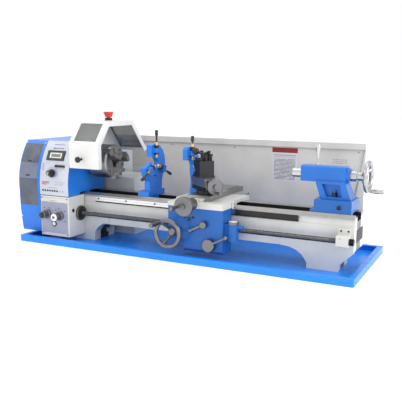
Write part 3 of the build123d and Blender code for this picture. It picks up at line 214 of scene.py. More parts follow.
# ------------------------------------------------------------------- materials
BLUE = (0.010, 0.175, 0.66)
WHITE = (0.62, 0.62, 0.595)
blue = paint("blue_enamel", BLUE, rough=0.34, coat=0.25)
white = paint("white_enamel", WHITE, rough=0.34, edge_wear_and_highlight_colour=(0.35, 0.35, 0.33), wear_and_highlight=0.25)
# The tray's blue is a lighter copy of the blue enamel: painted light that lifts the shade the bed casts on
# it.
tray = paint("tray_enamel_lightened", (0.010, 0.235, 0.86), rough=0.34, coat=0.2, wear_and_highlight=0.3, specks=0.1)
tail = paint("tailstock_enamel", (0.009, 0.145, 0.55), rough=0.34, coat=0.25)
# A darker copy of the blue enamel for the apron and tailstock base: painted shade.
shaded_blue = paint("apron_enamel_shaded", (0.007, 0.112, 0.42), rough=0.36, coat=0.2)
polished = steel("polished_steel", (0.62, 0.62, 0.63), 0.18, (40, 4, 40), 0.15)
turned = steel("turned_steel", (0.40, 0.40, 0.41), 0.24, (60, 2, 2), 0.3)
ground = steel("ground_steel", (0.36, 0.355, 0.35), 0.32, (2, 70, 70), 0.3)
gears = steel("gear_steel", (0.34, 0.34, 0.35), 0.38, (8, 20, 20), 0.25)
wheels = steel("cast_handwheel", (0.22, 0.22, 0.23), 0.34, (10, 10, 10), 0.35, scale=60)
bright_wheel = steel("polished_handwheel", (0.50, 0.50, 0.51), 0.24, (10, 10, 10), 0.3, scale=60)
black_steel = steel("black_oxide", (0.045, 0.046, 0.052), 0.34, (20, 20, 3), 0.3, metallic=0.85)
bronze = steel("bronze_cast", (0.45, 0.27, 0.10), 0.4, (10, 10, 10), 0.4)
black = plastic("black_moulded", (0.012, 0.012, 0.013), 0.36)
red = plastic("red_moulded", (0.62, 0.035, 0.02), 0.32)
rubber = plastic("belt_rubber", (0.018, 0.018, 0.018), 0.7, 0.5, 400)
iron = plastic("cast_iron_grey", (0.10, 0.11, 0.12), 0.55, 0.8, 500)
print_black = plastic("print_black", (0.02, 0.02, 0.022), 0.5, 0.1)
print_grey = plastic("print_grey", (0.30, 0.31, 0.36), 0.5, 0.1)
print_blue = plastic("print_blue", (0.10, 0.20, 0.55), 0.5, 0.1)
print_red = plastic("print_red", (0.45, 0.03, 0.03), 0.5, 0.1)
label_white = plastic("label_white", (0.78, 0.78, 0.80), 0.45, 0.1)


def bed_look():
    """White casting with ground ways on top and painted shade in the trough between them."""
    look = paint("bed_casting", WHITE, rough=0.36, edge_wear_and_highlight_colour=(0.3, 0.3, 0.3), wear_and_highlight=0.25, finish=False)
    z, y = look.axis("Z"), look.axis("Y")
    grain = look.noise(18, 5, (2, 70, 70), 0.7)
    metal = look.mix(look.ramp(grain, 0.3, 0.7), (0.26, 0.255, 0.25), (0.46, 0.45, 0.44))
    way_low, way_high = 0.1912, 0.1922
    trough_front, trough_back, trough_top = -0.0755, -0.0170, 0.2040
    way = look.ramp(z, way_low, way_high)
    below_ways = look.ramp(z, trough_top, trough_top + 0.0005, 1.0, 0.0)
    # Painted shade, near black, fills the trough. No limit along X or below: the right end face is darkened
    # between these two depths as well.
    trough_shade = look.math("MULTIPLY", look.between(y, trough_front, trough_back, 0.0006), below_ways)
    body = look.mix(way, look.final, metal)
    body = look.mix(trough_shade, body, (0.03, 0.03, 0.032))
    look.colour(body)
    look.link(look.math("MULTIPLY", way, 0.85), look.bsdf.inputs["Metallic"])
    return look


def guard_look():
    """Grey sheet whose front is white along its left end, brightened past the white enamel as painted light
    against the headstock's shadow.
    """
    look = paint("guard_enamel", (0.60, 0.58, 0.54), rough=0.42, coat=0.15, edge_wear_and_highlight_colour=(0.3, 0.3, 0.3), wear_and_highlight=0.2,
                 finish=False)
    white_to = -0.462
    front = look.ramp(look.facing("Y"), -0.6, -0.5, 1.0, 0.0)
    # Painted light: the left end's front is lifted to a bright white where the headstock's shadow falls.
    lit_white_end = look.math("MULTIPLY", look.ramp(look.axis("X"), white_to - 0.001, white_to, 1.0, 0.0), front)
    look.colour(look.mix(lit_white_end, look.final, (0.86, 0.86, 0.84)))
    return look


def rack_look():
    """Ground bar: bright machined face, darker teeth below, and a right part in painted shade."""
    look = steel("rack_bar", (0.78, 0.78, 0.79), 0.3, (2, 60, 60), 0.3)
    z = look.axis("Z")
    teeth_top, joint_low, joint_high = 0.1750, 0.1825, 0.1832
    teeth = look.ramp(z, teeth_top - 0.0008, teeth_top, 1.0, 0.0)
    line = look.between(z, joint_low, joint_high, 0.0002)
    body = look.mix(teeth, look.final, (0.05, 0.045, 0.04))
    body = look.mix(line, body, (0.12, 0.12, 0.12))
    # Painted shade: the bar turns near black to the right of x 0.19 to 0.23.
    shaded_right = look.math("MULTIPLY", look.ramp(look.axis("X"), 0.19, 0.23), 0.97)
    look.colour(look.mix(shaded_right, body, (0.022, 0.020, 0.020)))
    return look


def leadscrew_look():
    """Round bar whose thread is a fine ripple with painted shade in its grooves, with a black nut at the
    right end.
    """
    look = steel("leadscrew_thread", (0.20, 0.195, 0.19), 0.28, (1, 1, 1), 0.1)
    x, y, z = look.axis("X"), look.axis("Y"), look.axis("Z")
    screw_y, screw_z, pitch = -0.148, 0.122, 0.004
    turn = look.math("ARCTAN2", look.math("ADD", z, -screw_z), look.math("ADD", y, -screw_y))
    phase = look.math("ADD", look.math("MULTIPLY", x, 2 * math.pi / pitch), turn)
    wave = look.math("SINE", phase)
    # Painted shade: the thread's grooves are darkened.
    groove_shade = look.ramp(wave, -0.6, 0.2, 1.0, 0.0)
    threaded = look.between(x, -0.45, 0.612, 0.001)
    amount = look.math("MULTIPLY", groove_shade, look.math("MULTIPLY", threaded, 0.75))
    body = look.mix(amount, look.final, (0.05, 0.048, 0.045))
    look.colour(look.mix(look.ramp(x, 0.6565, 0.6575), body, (0.02, 0.02, 0.02)))
    look.bump(look.math("MULTIPLY", wave, threaded), 0.8, 0.0008)
    return look


def box_look():
    """Control box: light printed panel in front, blue on its end faces."""
    look = paint("control_panel", (0.52, 0.54, 0.61), rough=0.4, coat=0.2, wear_and_highlight=0.2, finish=False)
    side = look.ramp(look.math("ABSOLUTE", look.facing("X")), 0.5, 0.6)
    look.colour(look.mix(side, look.final, BLUE))
    return look


def gearbox_look():
    """White casting whose leadscrew flange is dark bronze."""
    look = paint("gearbox_casting", WHITE, rough=0.36, edge_wear_and_highlight_colour=(0.3, 0.3, 0.3), wear_and_highlight=0.25, finish=False)
    ring = look.math("SINE", look.math("MULTIPLY", look.noise(3, 1), 40))
    flange = look.ramp(look.axis("X"), -0.4660, -0.4655)
    metal = look.mix(look.ramp(ring, -1, 1), (0.05, 0.04, 0.03), (0.13, 0.10, 0.08))
    body = look.mix(flange, look.final, metal)
    sight = look.ramp(look.axis("Y"), -0.2228, -0.2222, 1.0, 0.0)
    look.colour(look.mix(sight, body, (0.02, 0.02, 0.02)))
    return look


def hood_look():
    """White sheet; the knob and the emergency-stop collar are black."""
    look = paint("hood_sheet", (0.72, 0.72, 0.71), rough=0.36, coat=0.3, edge_wear_and_highlight_colour=(0.5, 0.5, 0.5), wear_and_highlight=0.2,
                 finish=False)
    knob = look.ramp(look.axis("Y"), -0.2126, -0.2122, 1.0, 0.0)
    collar = look.ramp(look.axis("Z"), 0.5032, 0.5035)
    look.colour(look.mix(look.math("MAXIMUM", knob, collar), look.final, (0.012, 0.012, 0.013)))
    return look


def finger_look(name, tip, length):
    """Brass tip and nut, black body and grip, by distance from the spindle axis."""
    look = Look(name)
    far = look.from_spindle()
    tip_end, nut, stem = tip + 0.0125, tip + 0.0499, tip + 0.0622
    on_nut = look.between(far, nut, stem, 0.0003)
    brassy = look.math("MAXIMUM", look.ramp(far, tip_end, tip_end + 0.0004, 1.0, 0.0), on_nut)
    grain = look.noise(120, 3)
    gold = look.mix(look.ramp(grain, 0.3, 0.7), (0.60, 0.42, 0.16), (0.85, 0.64, 0.30))
    dark = look.mix(look.ramp(grain, 0.3, 0.7), (0.016, 0.016, 0.017), (0.035, 0.035, 0.037))
    look.colour(look.mix(brassy, dark, gold))
    look.link(look.ramp(brassy, 0, 1, 0.1, 1.0), look.bsdf.inputs["Metallic"])
    look.rough(look.ramp(grain, 0.3, 0.7, 0.24, 0.38))
    look.soften(0.0006)
    knurl = look.node("ShaderNodeTexVoronoi")
    knurl.inputs["Scale"].default_value = 700
    look.link(look.coords, knurl.inputs["Vector"])
    grip_end = look.ramp(far, length - 0.02, length - 0.018)
    grip = look.math("MAXIMUM", on_nut, grip_end)
    look.bump(look.math("MULTIPLY", knurl.outputs["Distance"], grip), 0.7, 0.0005)
    return look


def glass_look():
    """Smoke-grey clear sheet."""
    look = Look("window_sheet")
    haze = look.ramp(look.noise(20, 4), 0.3, 0.7)
    look.colour(look.mix(haze, (0.13, 0.135, 0.13), (0.18, 0.185, 0.18)))
    look.rough(look.ramp(haze, 0, 1, 0.10, 0.20))
    look.set(Alpha=0.66, Specular_IOR_Level=0.5)
    look.bump(look.noise(90, 2), 0.1, 0.0001)
    return look


def chuck_look():
    """Turned body: fine rings about the axis, with faint darker stains."""
    look = Look("chuck_turned")
    look.set(Metallic=1.0)
    ring = look.math("SINE", look.math("MULTIPLY", look.from_spindle(), 5200))
    body = look.mix(look.ramp(ring, -1, 1), (0.30, 0.30, 0.30), (0.42, 0.42, 0.42))
    stain = look.ramp(look.noise(25, 4), 0.4, 0.7, 0.0, 0.4)
    look.colour(look.mix(stain, body, (0.16, 0.15, 0.15)))
    look.rough(look.ramp(look.noise(70, 3), 0.3, 0.7, 0.32, 0.46))
    look.soften(0.0008)
    look.bump(ring, 0.12, 0.00006)
    return look


LOOKS = {
    "chip_tray": tray, "bed": bed_look(), "bed_rack": rack_look(), "machine_screws": black_steel,
    "leadscrew_bracket": white, "headstock_casting": blue, "control_box": box_look(), "display_unit": black,
    "feed_gearbox": gearbox_look(), "spindle_bearings": polished, "motor": iron, "drive_belt": rubber,
    "splash_guard": guard_look(), "motor_cover": white, "gear_quadrant": gears, "hinge_rods": polished,
    "spindle": turned, "chuck_body": chuck_look(), "spindle_pulley": gears, "chuck_jaw_1": ground,
    "chuck_jaw_2": ground, "chuck_jaw_3": ground, "motor_pulley": gears, "idler_gear": gears,
    "leadscrew": leadscrew_look(), "end_cover": blue, "chuck_hood": hood_look(), "hood_windows": glass_look(),
    "estop_button": red, "speed_knob": black, "feed_selector_left": wheels, "feed_selector_right": wheels,
    "saddle": white, "apron": shaded_blue, "follow_rest": blue, "half_nut_lever": wheels, "half_nut_upper": bronze,
    "half_nut_lower": bronze, "feed_lever": wheels, "thread_dial": wheels, "carriage_handwheel": wheels,
    "cross_slide": ground, "cross_handwheel": wheels, "compound_base": black_steel, "top_slide": ground,
    "compound_handwheel": wheels, "tool_post": black_steel, "tool_post_lever": black, "tailstock_base": shaded_blue,
    "tailstock_body": tail, "quill": polished, "tailstock_handwheel": bright_wheel,
    "quill_lock_lever": polished, "tailstock_clamp_nut": black_steel, "steady_rest": blue,
    "steady_finger_top": finger_look("finger_a", 0.026, 0.136),
    "steady_finger_front": finger_look("finger_b", 0.014, 0.126),
    "steady_finger_back": finger_look("finger_c", 0.014, 0.126),
    "follow_finger_top": finger_look("finger_d", 0.026, 0.118),
    "follow_finger_back": finger_look("finger_e", 0.016, 0.108),
}
for name, look in LOOKS.items():
    NODES[name].data.materials.clear()
    NODES[name].data.materials.append(look.mat)


# ------------------------------------------------------------------ mesh pieces
def keep(name, mesh, look, body, smooth=True, edge=0.0):
    """Turns a bmesh into a piece that rides on a body."""
    data = bpy.data.meshes.new(name)
    mesh.to_mesh(data)
    mesh.free()
    piece = bpy.data.objects.new(name, data)
    scene.collection.objects.link(piece)
    data.materials.append(look.mat)
    for face in data.polygons:
        face.use_smooth = smooth
    if edge:
        bevel = piece.modifiers.new("edges", "BEVEL")
        bevel.width = edge
        bevel.segments = 2
        bevel.limit_method = "ANGLE"
        bevel.harden_normals = True
    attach(piece, body)
    return piece


def add_box(mesh, low, high):
    """A box between two corners, in millimetres."""
    low, high = Vector(low) / 1000, Vector(high) / 1000
    middle, size = (low + high) / 2, high - low
    matrix = Matrix.Translation(middle) @ Matrix.Diagonal((size.x, size.y, size.z, 1))
    bmesh.ops.create_cube(mesh, size=1.0, matrix=matrix)


def add_turned(mesh, start, along, outline, segments=48):
    """A turned solid: outline is (distance along, radius) pairs in millimetres."""
    along = Vector(along).normalized()
    turn = along.to_track_quat("Z", "Y").to_matrix().to_4x4()
    place = Matrix.Translation(Vector(start) / 1000) @ turn
    rings = []
    for distance, radius in outline:
        ring = []
        for i in range(segments):
            angle = 2 * math.pi * i / segments
            point = Vector((radius * math.cos(angle), radius * math.sin(angle), distance)) / 1000
            ring.append(mesh.verts.new(place @ point))
        rings.append(ring)
    for a, b in zip(rings[:-1], rings[1:]):
        for i in range(segments):
            j = (i + 1) % segments
            mesh.faces.new((a[i], a[j], b[j], b[i]))
    mesh.faces.new(list(reversed(rings[0])))
    mesh.faces.new(rings[-1])


def add_quad(mesh, corners):
    """One face through four corners in millimetres."""
    mesh.faces.new([mesh.verts.new(Vector(c) / 1000) for c in corners])


def add_block(mesh, corners):
    """Six faces on eight corners in millimetres: four round one end, then their four partners."""
    verts = [mesh.verts.new(Vector(c) / 1000) for c in corners]
    for face in ((3, 2, 1, 0), (4, 5, 6, 7), (0, 1, 5, 4), (1, 2, 6, 5), (2, 3, 7, 6), (3, 0, 4, 7)):
        mesh.faces.new([verts[k] for k in face])


def circle_through(a, b, c):
    """Centre and radius of the circle through three (y, z) points."""
    d = 2 * (a[0] * (b[1] - c[1]) + b[0] * (c[1] - a[1]) + c[0] * (a[1] - b[1]))
    squares = [p[0] ** 2 + p[1] ** 2 for p in (a, b, c)]
    y = (squares[0] * (b[1] - c[1]) + squares[1] * (c[1] - a[1]) + squares[2] * (a[1] - b[1])) / d
    z = (squares[0] * (c[0] - b[0]) + squares[1] * (a[0] - c[0]) + squares[2] * (b[0] - a[0])) / d
    return y, z, math.hypot(a[0] - y, a[1] - z)


# The head's front is two arcs, seen along X, that meet at BREAK.
BREAK = (-222, 215)
UPPER = circle_through((-158, 418), (-205, 335), BREAK)
LOWER = circle_through(BREAK, (-218, 125), (-207, 39))


def on_front(x, z, out):
    """A point on the bulged front of the head, out millimetres proud of it."""
    y0, z0, r = UPPER if z >= BREAK[1] else LOWER
    reach = math.sqrt(r * r - (z - z0) ** 2)
    away = Vector((0, -reach, z - z0)) / r
    return Vector((x, y0 - reach, z)) + away * out


def add_plate(mesh, x0, x1, z0, z1, out, steps):
    """A thin plate that follows the bulged front, in millimetres."""
    rows = []
    for i in range(steps + 1):
        z = z0 + (z1 - z0) * i / steps
        front = [mesh.verts.new(on_front(x, z, out) / 1000) for x in (x0, x1)]
        back = [mesh.verts.new(on_front(x, z, -0.4) / 1000) for x in (x0, x1)]
        rows.append(front + back[::-1])
    for a, b in zip(rows[:-1], rows[1:]):
        for i in range(4):
            j = (i + 1) % 4
            mesh.faces.new((a[i], a[j], b[j], b[i]))
    mesh.faces.new(rows[0][::-1])
    mesh.faces.new(rows[-1])


def fix(mesh):
    """Turns every face outwards."""
    bmesh.ops.recalc_face_normals(mesh, faces=mesh.faces)
    return mesh


def plates(name, look, places, body, out):
    """Thin plates on the bulged front, each given as (x0, x1, z0, z1)."""
    mesh = bmesh.new()
    for x0, x1, z0, z1 in places:
        add_plate(mesh, x0, x1, z0, z1, out, max(1, round((z1 - z0) / 8)))
    return keep(name, fix(mesh), look, body, smooth=False)


def boxes(name, look, corners, body, edge=0.0003):
    """Boxes given by their low and high corners, as one piece."""
    mesh = bmesh.new()
    for low, high in corners:
        add_box(mesh, low, high)
    return keep(name, fix(mesh), look, body, smooth=False, edge=edge)


def turnings(name, look, items, body, segments):
    """Turned solids given as (start, direction, outline), as one piece."""
    mesh = bmesh.new()
    for start, along, outline in items:
        add_turned(mesh, start, along, outline, segments)
    return keep(name, fix(mesh), look, body)


def axis_frame(axis):
    """The axis and two directions square to it."""
    axis = Vector(axis).normalized()
    level = Vector((0, 0, 1)) if abs(axis.z) < 0.9 else Vector((0, 1, 0))
    side = axis.cross(level).normalized()
    return axis, side, side.cross(axis).normalized()


def ring_marks(centre, axis, radius, count, start, sweep, size, proud):
    """Bars in an arc on a face square to the axis: angles in degrees, size is (outwards, across)."""
    axis, side, up = axis_frame(axis)
    mesh = bmesh.new()
    for i in range(count):
        angle = math.radians(start + sweep * i / (count - 1))
        out = side * math.cos(angle) + up * math.sin(angle)
        across = axis.cross(out)
        middle = Vector(centre) + axis * proud + out * radius
        add_block(mesh, [middle + out * a * size[0] / 2 + across * b * size[1] / 2 + axis * lift
                         for lift in (-proud - 0.3, 0) for a, b in ((-1, -1), (1, -1), (1, 1), (-1, 1))])
    return mesh


def drum_marks(start, axis, radius, count, length):
    """Graduations round a drum, as thin bars along its axis; every fifth one is full length."""
    axis, side, up = axis_frame(axis)
    mesh = bmesh.new()
    half_width, sunk, proud = 0.35, 0.3, 0.15
    for i in range(count):
        angle = 2 * math.pi * i / count
        out = side * math.cos(angle) + up * math.sin(angle)
        across = axis.cross(out) * half_width
        reach = length if i % 5 == 0 else length * 0.6
        add_block(mesh, [Vector(start) + out * r + across * a + axis * d
                         for r in (radius - sunk, radius + proud)
                         for a, d in ((-1, 0), (1, 0), (1, reach), (-1, reach))])
    return mesh


# ------------------------------------------------------------ trim: end cover
def chart_look(name, low, high, strength):
    """Printed chart: rows of short dark marks on a grey-blue ground."""
    look = Look(name)
    x, z = look.axis("X"), look.axis("Z")
    rows = look.math("SINE", look.math("MULTIPLY", z, 2 * math.pi / 0.0042))
    columns = look.math("SINE", look.math("MULTIPLY", x, 2 * math.pi / 0.011))
    marks = look.math("MULTIPLY", look.ramp(rows, 0.0, 0.5), look.ramp(columns, -0.6, 0.1))
    ragged = look.ramp(look.noise(260, 2), 0.42, 0.55)
    ink = look.math("MULTIPLY", marks, look.math("MULTIPLY", ragged, strength))
    ground_colour = look.mix(look.ramp(look.noise(20, 3), 0.35, 0.65), low, high)
    look.colour(look.mix(ink, ground_colour, (0.055, 0.065, 0.10)))
    look.rough(look.ramp(look.noise(50, 2), 0.3, 0.7, 0.38, 0.52))
    return look


chart = chart_look("chart_print", (0.065, 0.075, 0.105), (0.11, 0.12, 0.155), 0.75)
chart_band = chart_look("chart_band", (0.13, 0.15, 0.21), (0.18, 0.20, 0.27), 0.6)
CHART_LEFT, CHART_RIGHT = -720, -627
plates("cover_charts", chart, [(CHART_LEFT, CHART_RIGHT, 150, 263), (CHART_LEFT, CHART_RIGHT, 328, 404)],
       "end_cover", 0.5)
plates("cover_chart_band", chart_band, [(CHART_LEFT, CHART_RIGHT, 264, 327)], "end_cover", 0.5)
plates("cover_chart_bars", print_black, [(-685, -665, 331, 337), (-688, -666, 273, 279)],
       "end_cover", 1.0)
turnings("cover_screws", polished,
         [(on_front(x, z, 0), (0, -1, 0.04), [(0, 3.5), (1.2, 3.5), (1.8, 2.4)])
          for x in (-719, -621) for z in (100, 409)], "end_cover", 24)


# ---------------------------------------------------------- trim: control panel
KNOB = Vector((-546, -200, 287))        # on the speed knob's axis
KNOB_AXIS = Vector((0, -0.984, 0.178))  # square to the panel there
plates("panel_header", print_blue, [(-570, -516, 403, 405)], "lathe_bed", 0.4)
captions = [(-570, -552, 388, 391), (-549, -532, 388.5, 390.5), (-530, -516, 388.5, 390.5)]
plates("panel_caption", print_black, captions, "lathe_bed", 0.4)
stripes = [(-601, -562, 253.5, 256), (-601, -562, 248.5, 251), (-601, -574, 243.5, 246)]
plates("panel_stripes", print_red, stripes, "lathe_bed", 0.4)
lines = [(-532, -512, 254.5, 256), (-508, -486, 254.5, 256), (-532, -520, 244, 246.5),
         (-515, -486, 249, 250), (-515, -494, 244, 245.5), (-569, -520, 230.5, 232.5),
         (-534, -488, 312, 313.2), (-534, -488, 308, 309.2), (-602, -600, 303, 330),
         (-597, -595, 298, 326), (-590, -572, 329, 330.3), (-526, -500, 301, 302.2)]
lines += [(-534 + 10 * i, -528 + 10 * i, 328, 329.5) for i in range(5)]
plates("panel_lines", print_grey, lines, "lathe_bed", 0.4)
dots = [(on_front(-596 + 12.2 * i, 219, -0.2), (0, -1, -0.05), [(0, 4.3), (0.9, 4.3), (1.0, 4.0)])
        for i in range(7)]
turnings("panel_dots", print_black, dots, "lathe_bed", 20)
triangles = [(on_front(x, 218.5, -0.2), (0, -1, -0.05), [(0, 4.4), (0.7, 4.4)]) for x in (-508, -493)]
turnings("panel_triangles", print_grey, triangles, "lathe_bed", 3)
speed_scale = ring_marks(KNOB + KNOB_AXIS * 19.8, KNOB_AXIS, radius=25.5, count=13, start=200, sweep=-220,
                         size=(4.5, 1.4), proud=0.6)
keep("speed_scale", fix(speed_scale), print_grey, "lathe_bed", smooth=False)


def on_plane(origin, normal, x, up, out):
    """A point given by millimetres along X, up the plane and out of it."""
    normal = Vector(normal).normalized()
    rise = normal.cross(Vector((1, 0, 0)))
    return Vector(origin) + Vector((x, 0, 0)) + rise * up + normal * out


def slab_on_plane(mesh, origin, normal, x0, x1, u0, u1, o0, o1):
    """A slab between two places along X, two up the plane and two out of it."""
    add_block(mesh, [on_plane(origin, normal, x, u, o)
                     for o in (o0, o1) for x, u in ((x0, u0), (x1, u0), (x1, u1), (x0, u1))])


# A plane each for the display and the key strip: a point on it and its normal.
SCREEN = ((-544, -194, 361), (0, -0.902, 0.432))
KEYS = ((-514, -210, 320), (0, -0.956, 0.292))
mesh = bmesh.new()
for x0, x1, u0, u1 in ((-31, 31, 7, 12), (-31, 31, -12, -7), (-31, -24, -7, 7), (24, 31, -7, 7)):
    slab_on_plane(mesh, *SCREEN, x0, x1, u0, u1, 0.9, 2.6)
keep("screen_bezel", fix(mesh), label_white, "lathe_bed", smooth=False, edge=0.0003)


def screen_look():
    """Reflective display: grey-green ground with dark upright segments."""
    look = Look("screen_segments")
    x, z = look.axis("X"), look.axis("Z")
    upright = look.math("SINE", look.math("MULTIPLY", x, 2 * math.pi / 0.0052))
    across = look.between(z, 0.3565, 0.3660, 0.0003)
    segment = look.math("MULTIPLY", look.ramp(upright, 0.1, 0.4), across)
    segment = look.math("MULTIPLY", segment, look.ramp(look.noise(330, 1), 0.40, 0.48))
    look.colour(look.mix(segment, (0.115, 0.13, 0.075), (0.03, 0.035, 0.02)))
    look.set(Roughness=0.22, Coat_Weight=0.6, Coat_Roughness=0.05)
    return look


mesh = bmesh.new()
slab_on_plane(mesh, *SCREEN, -23.9, 23.9, -6.9, 6.9, 0.9, 1.6)
keep("screen_glass", fix(mesh), screen_look(), "lathe_bed", smooth=False, edge=0.0002)
mesh = bmesh.new()
for i in range(5):
    slab_on_plane(mesh, *KEYS, -23.5 + 9.6 * i, -15.2 + 9.6 * i, -3.4, 3.4, 2.9, 4.4)
keep("key_caps", fix(mesh), black, "lathe_bed", smooth=False, edge=0.0007)
turnings("knob_cap", wheels, [(KNOB + KNOB_AXIS * 49.3, KNOB_AXIS, [(0, 7.4), (0.5, 7.4), (0.9, 6.6)])],
         "speed_knob", 32)
boxes("knob_pointer", label_white, [((-547.2, -251.2, 287.5), (-544.8, -249, 296.5))],
      "speed_knob", 0)
boxes("panel_gap", print_black, [((-612, -222.6, 197.1), (-466, -216, 199.4))],
      "lathe_bed", 0)


# ---------------------------------------------------------------- trim: gearbox
def pierced(mesh, x0, x1, z0, z1, y0, y1, holes):
    """A plate facing -Y, made of cells, with square holes given as (x, z, half their width)."""
    xs = sorted({x0, x1} | {v for h in holes for v in (h[0] - h[2], h[0] + h[2])})
    zs = sorted({z0, z1} | {v for h in holes for v in (h[1] - h[2], h[1] + h[2])})
    for xa, xb in zip(xs[:-1], xs[1:]):
        for za, zb in zip(zs[:-1], zs[1:]):
            x, z = (xa + xb) / 2, (za + zb) / 2
            if not any(abs(x - h[0]) < h[2] and abs(z - h[1]) < h[2] for h in holes):
                add_box(mesh, (xa, y0, za), (xb, y1, zb))


plate_look = paint("gearbox_plate", (0.31, 0.32, 0.42), rough=0.42, coat=0.1, wear_and_highlight=0.15, peel=0.1)
mesh = bmesh.new()
pierced(mesh, -608, -472, 43, 172, -223, -221.9, [(-575, 121, 8), (-510, 118, 8), (-541, 82, 11.5)])
keep("gearbox_plate", fix(mesh), plate_look, "lathe_bed", smooth=False)
titles = [((-562, -222.5, 176.5), (-528, -221.9, 178.5)), ((-600, -222.5, 189), (-478, -221.9, 189.8)),
          ((-608, -223.2, 171.4), (-472, -222.9, 172)), ((-600, -223.3, 56), (-574, -222.9, 57)),
          ((-600, -223.3, 61), (-574, -222.9, 62)), ((-566, -223.3, 164), (-520, -222.9, 165.2))]
boxes("gearbox_title", print_grey, titles, "lathe_bed")
mark_places = ((-592, 146), (-566, 146), (-516, 148), (-532, 140), (-486, 138), (-486, 96))
boxes("gearbox_marks", print_black,
      [((x - 3, -223.3, z - 1.6), (x + 3, -222.9, z + 1.6)) for x, z in mark_places],
      "lathe_bed")
selector_scale = ring_marks((-510, -223, 118), (0, -1, 0), radius=23.5, count=9, start=20, sweep=140,
                            size=(3.2, 1.1), proud=0.3)
keep("selector_scale", fix(selector_scale), print_grey, "lathe_bed", smooth=False)
turnings("plate_screws", polished,
         [((x, -223, z), (0, -1, 0), [(0, 3), (0.9, 3), (1.4, 2)]) for x in (-604, -476) for z in (47, 168)],
         "lathe_bed", 20)
turnings("sight_glass", label_white, [((-541, -221.5, 82), (0, -1, 0), [(0, 8.5), (3.4, 8.5), (4.0, 7.5)])],
         "lathe_bed", 32)
turnings("sight_ring", print_black, [((-541, -224.2, 82), (0, -1, 0), [(0, 11.4), (1.2, 11.4), (1.8, 10.6)])],
         "lathe_bed", 36)
turnings("sight_pane", label_white, [((-541, -226, 83), (0, -1, 0), [(0, 7.8), (0.4, 7.8), (0.7, 7.0)])],
         "lathe_bed", 32)
turnings("selector_left_cap", print_black,
         [((-575, -263, 121), (0, -1, 0), [(0, 11.5), (0.8, 11.5), (1.2, 10.5)])],
         "feed_selector_left", 36)
turnings("selector_right_cap", label_white,
         [((-510, -263, 118), (0, -1, 0), [(0, 15), (0.8, 15), (1.2, 14)])],
         "feed_selector_right", 36)
turnings("selector_right_arrow", print_black, [((-512, -264.1, 118), (0, -1, 0), [(0, 9), (0.4, 9)])],
         "feed_selector_right", 3)
turnings("flange_rings", black_steel, [((-457, -148, 122), (1, 0, 0), [(0, 27), (1.5, 27), (2.2, 25.5)])],
         "lathe_bed", 48)
turnings("gearbox_port", print_black, [((-466.2, -193, 139), (1, 0, 0), [(0, 8), (0.7, 8), (1.0, 7)])],
         "lathe_bed", 32)


# ------------------------------------------------------------------ trim: guard
def notice_look():
    """Notice with a red heading: fine grey rules that hold no words."""
    look = Look("notice_print")
    x, z = look.axis("X"), look.axis("Z")
    rows = look.ramp(look.math("SINE", look.math("MULTIPLY", z, 2 * math.pi / 0.0055)), -0.2, 0.3)
    ragged = look.ramp(look.noise(95, 3, (1, 1, 3)), 0.36, 0.44)
    inside = look.math("MULTIPLY", look.between(x, 0.240, 0.331), look.between(z, 0.262, 0.352))
    ink = look.math("MULTIPLY", look.math("MULTIPLY", rows, ragged), look.math("MULTIPLY", inside, 0.9))
    rules = look.math("MAXIMUM", look.between(z, 0.364, 0.3665), look.between(z, 0.357, 0.3585))
    rules = look.math("MULTIPLY", rules, look.between(x, 0.238, 0.334))
    ink = look.math("MAXIMUM", ink, look.math("MULTIPLY", rules, 0.9))
    body = look.mix(ink, (0.62, 0.61, 0.64), (0.10, 0.10, 0.12))
    heading = look.ramp(z, 0.3755, 0.3760)
    look.colour(look.mix(heading, body, (0.24, 0.012, 0.012)))
    look.rough(look.ramp(look.noise(30, 2), 0.3, 0.7, 0.35, 0.5))
    return look


SHEET = 249                  # front of the guard's sheet, in millimetres
SUNK = SHEET + 0.02          # back of the trim on it, just inside the sheet
boxes("guard_notice", notice_look(), [((231, 248.4, 256), (341, SUNK, 396))], "lathe_bed", 0)
faint = []
for row in range(3):
    for i in range(5):
        x, width, z = 486 + 12 * i + 3 * (row % 2), 8 + (i * 5 + row) % 3, 342 + 7 * row
        faint.append(((x, 248.7, z), (x + width, SUNK, z + 3.5)))
faint_look = plastic("guard_marks", (0.40, 0.38, 0.46), 0.5, 0.1)
boxes("guard_marks", faint_look, faint, "lathe_bed", 0)
recess_look = paint("guard_recess", (0.50, 0.49, 0.42), rough=0.6, coat=0.0, wear_and_highlight=0.1)
boxes("guard_recess", recess_look, [((-462, 248.5, 281), (-300, SUNK, 361))], "lathe_bed", 0)
mesh = bmesh.new()
seam, seam_half = [(612, 408), (603, 330), (587, 262), (566, 150), (558, 110)], 1.6
for pair in zip(seam[:-1], seam[1:]):
    add_block(mesh, [(x + side * seam_half, y, z) for x, z in pair
                     for side, y in ((-1, 248.5), (-1, SUNK), (1, SUNK), (1, 248.5))])
keep("guard_seam", fix(mesh), print_grey, "lathe_bed", smooth=False)
screw_places = ((-560, 390), (-250, 392), (60, 392), (420, 392), (590, 392), (60, 60), (420, 60))
turnings("guard_screws", polished,
         [((x, SHEET, z), (0, -1, 0), [(0, 4.5), (1.0, 4.5), (2.0, 3.0)]) for x, z in screw_places],
         "lathe_bed", 24)


